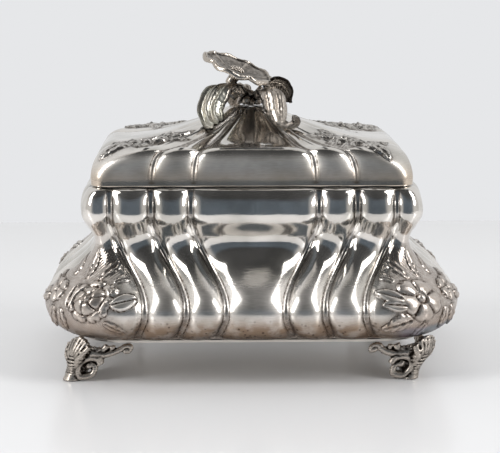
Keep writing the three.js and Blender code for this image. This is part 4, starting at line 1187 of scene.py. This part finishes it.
belongs(bowl_shell(), "bowl", "polished_silver", POLISHED, "bowl_shell")
for number, corner in enumerate(("front_right", "back_right", "back_left", "front_left")):
    belongs(chased_corner("chased_" + corner, number), "bowl", "polished_silver", POLISHED)
belongs(lid_shell(), "lid", "polished_silver", POLISHED, "lid_shell")
for corner, (x, y) in FOOT_SIDES.items():
    belongs(foot("cast_foot_" + corner, x, y), "bowl", "cast_silver", CAST, "foot_" + corner)
belongs(blossom(), "lid", "cast_silver", CAST, "finial_blossom")
belongs(stem(), "lid", "cast_silver", CAST, "finial_stem")
belongs(stamens(), "lid", "cast_silver", CAST, "finial_stamens")
for node, blade in leaves().items():
    belongs(blade, "lid", "cast_silver", CAST, node)

KEPT_NODES = {
    HINGE: ("hinge_leaf_bowl", "hinge_leaf_lid"),
    INNER: ("bottom_plate", "rim_bezel", "lid_band"),
    FITTINGS: ("hinge_pin", "finial_stud", "finial_washer", "finial_nut"),
}
for material, names in KEPT_NODES.items():
    for name in names:
        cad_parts[name].data.materials.clear()
        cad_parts[name].data.materials.append(material)


# ------------------------------------------------------------------------- stage
def plain_material(name, colour, roughness):
    material = bpy.data.materials.new(name)
    material.use_nodes = True
    shader = material.node_tree.nodes["Principled BSDF"]
    shader.inputs["Base Color"].default_value = srgb(colour)
    shader.inputs["Roughness"].default_value = roughness
    return material


def table():
    """A white table top, just below the feet."""
    bpy.ops.mesh.primitive_plane_add(size=1, location=(0, 0.005, -0.0002))
    top = bpy.context.active_object
    top.name = "table_top"
    top.scale = (1.7, 0.6, 1)
    top.data.materials.append(plain_material("white_table", "#DEDEDF", 0.22))


def softbox(name, place, target, size, power, reflected=True):
    lamp = bpy.data.lights.new(name, "AREA")
    lamp.shape = "RECTANGLE"
    lamp.size, lamp.size_y = size
    lamp.energy = power
    thing = bpy.data.objects.new(name, lamp)
    bpy.context.scene.collection.objects.link(thing)
    thing.location = place
    thing.rotation_euler = (Vector(target) - Vector(place)).to_track_quat("-Z", "Y").to_euler()
    thing.visible_camera = False
    thing.visible_glossy = reflected


def studio_world():
    """A dim room in front and above with a light strip overhead, and a pale backdrop behind."""
    world = bpy.data.worlds.new("studio")
    bpy.context.scene.world = world
    world.use_nodes = True
    tree = world.node_tree
    tree.nodes.clear()
    way = add_node(tree, "ShaderNodeTexCoord").outputs["Generated"]
    x, y, z = axes(tree, way)
    room = blend(tree, remap(tree, z, 0.3, 0.55), srgb("#58626C"), srgb("#3A3B3C"))
    across = size_of(tree, x)
    sides = times(tree, remap(tree, across, 0.55, 0.85), remap(tree, z, 0.3, 0.7, 1.0, 0.0))
    room = blend(tree, sides, room, srgb("#C4C3C1"))
    from_strip = size_of(tree, maths(tree, "SUBTRACT", y, 0.02))
    strip = times(tree, remap(tree, from_strip, 0.04, 0.075, 1.0, 0.0), remap(tree, z, 0.3, 0.5))
    room = blend(tree, strip, room, srgb("#BFBDBA"))
    corners = remap(tree, across, 0.03, 0.07)
    top = maths(tree, "ADD", 0.62, times(tree, corners, 0.45))
    below = maths(tree, "SUBTRACT", top, z)
    behind = times(tree, remap(tree, y, 0.05, 0.12), remap(tree, below, 0.0, 0.1))
    room = blend(tree, behind, room, srgb("#E0E1E2"))
    ray = add_node(tree, "ShaderNodeLightPath").outputs["Is Camera Ray"]
    pale = add_node(tree, "ShaderNodeBackground", {"Color": srgb("#E6E7E9"), "Strength": 1.0})
    dim = add_node(tree, "ShaderNodeBackground", {"Color": room, "Strength": 1.0})
    both = add_node(tree, "ShaderNodeMixShader", {0: ray, 1: dim.outputs[0], 2: pale.outputs[0]})
    add_node(tree, "ShaderNodeOutputWorld", {"Surface": both.outputs[0]})


CAMERA_DISTANCE = 0.630
CAMERA_HEIGHT = 0.1613
CAMERA_TURN = math.radians(-1.3)
CAMERA_PITCH = math.radians(9.98043)
SENSOR = 36
LENS = 114.48


def camera():
    lens = bpy.data.cameras.new("camera")
    lens.sensor_width = SENSOR
    lens.lens = LENS
    thing = bpy.data.objects.new("camera", lens)
    bpy.context.scene.collection.objects.link(thing)
    thing.location = (
        CAMERA_DISTANCE * math.sin(CAMERA_TURN),
        -CAMERA_DISTANCE * math.cos(CAMERA_TURN),
        CAMERA_HEIGHT,
    )
    thing.rotation_euler = (math.pi / 2 - CAMERA_PITCH, 0, CAMERA_TURN)
    bpy.context.scene.camera = thing


table()
studio_world()
for side, x in (("left", -0.7), ("right", 0.7)):
    softbox("softbox_" + side, (x, -0.36, 0.56), (0, 0, 0.05), (0.22, 0.8), 5)
softbox("table_light", (0, 0.1, 1.6), (0, 0.1, 0), (2.2, 1.8), 11, reflected=False)
camera()
bpy.context.scene.view_settings.view_transform = "Standard"
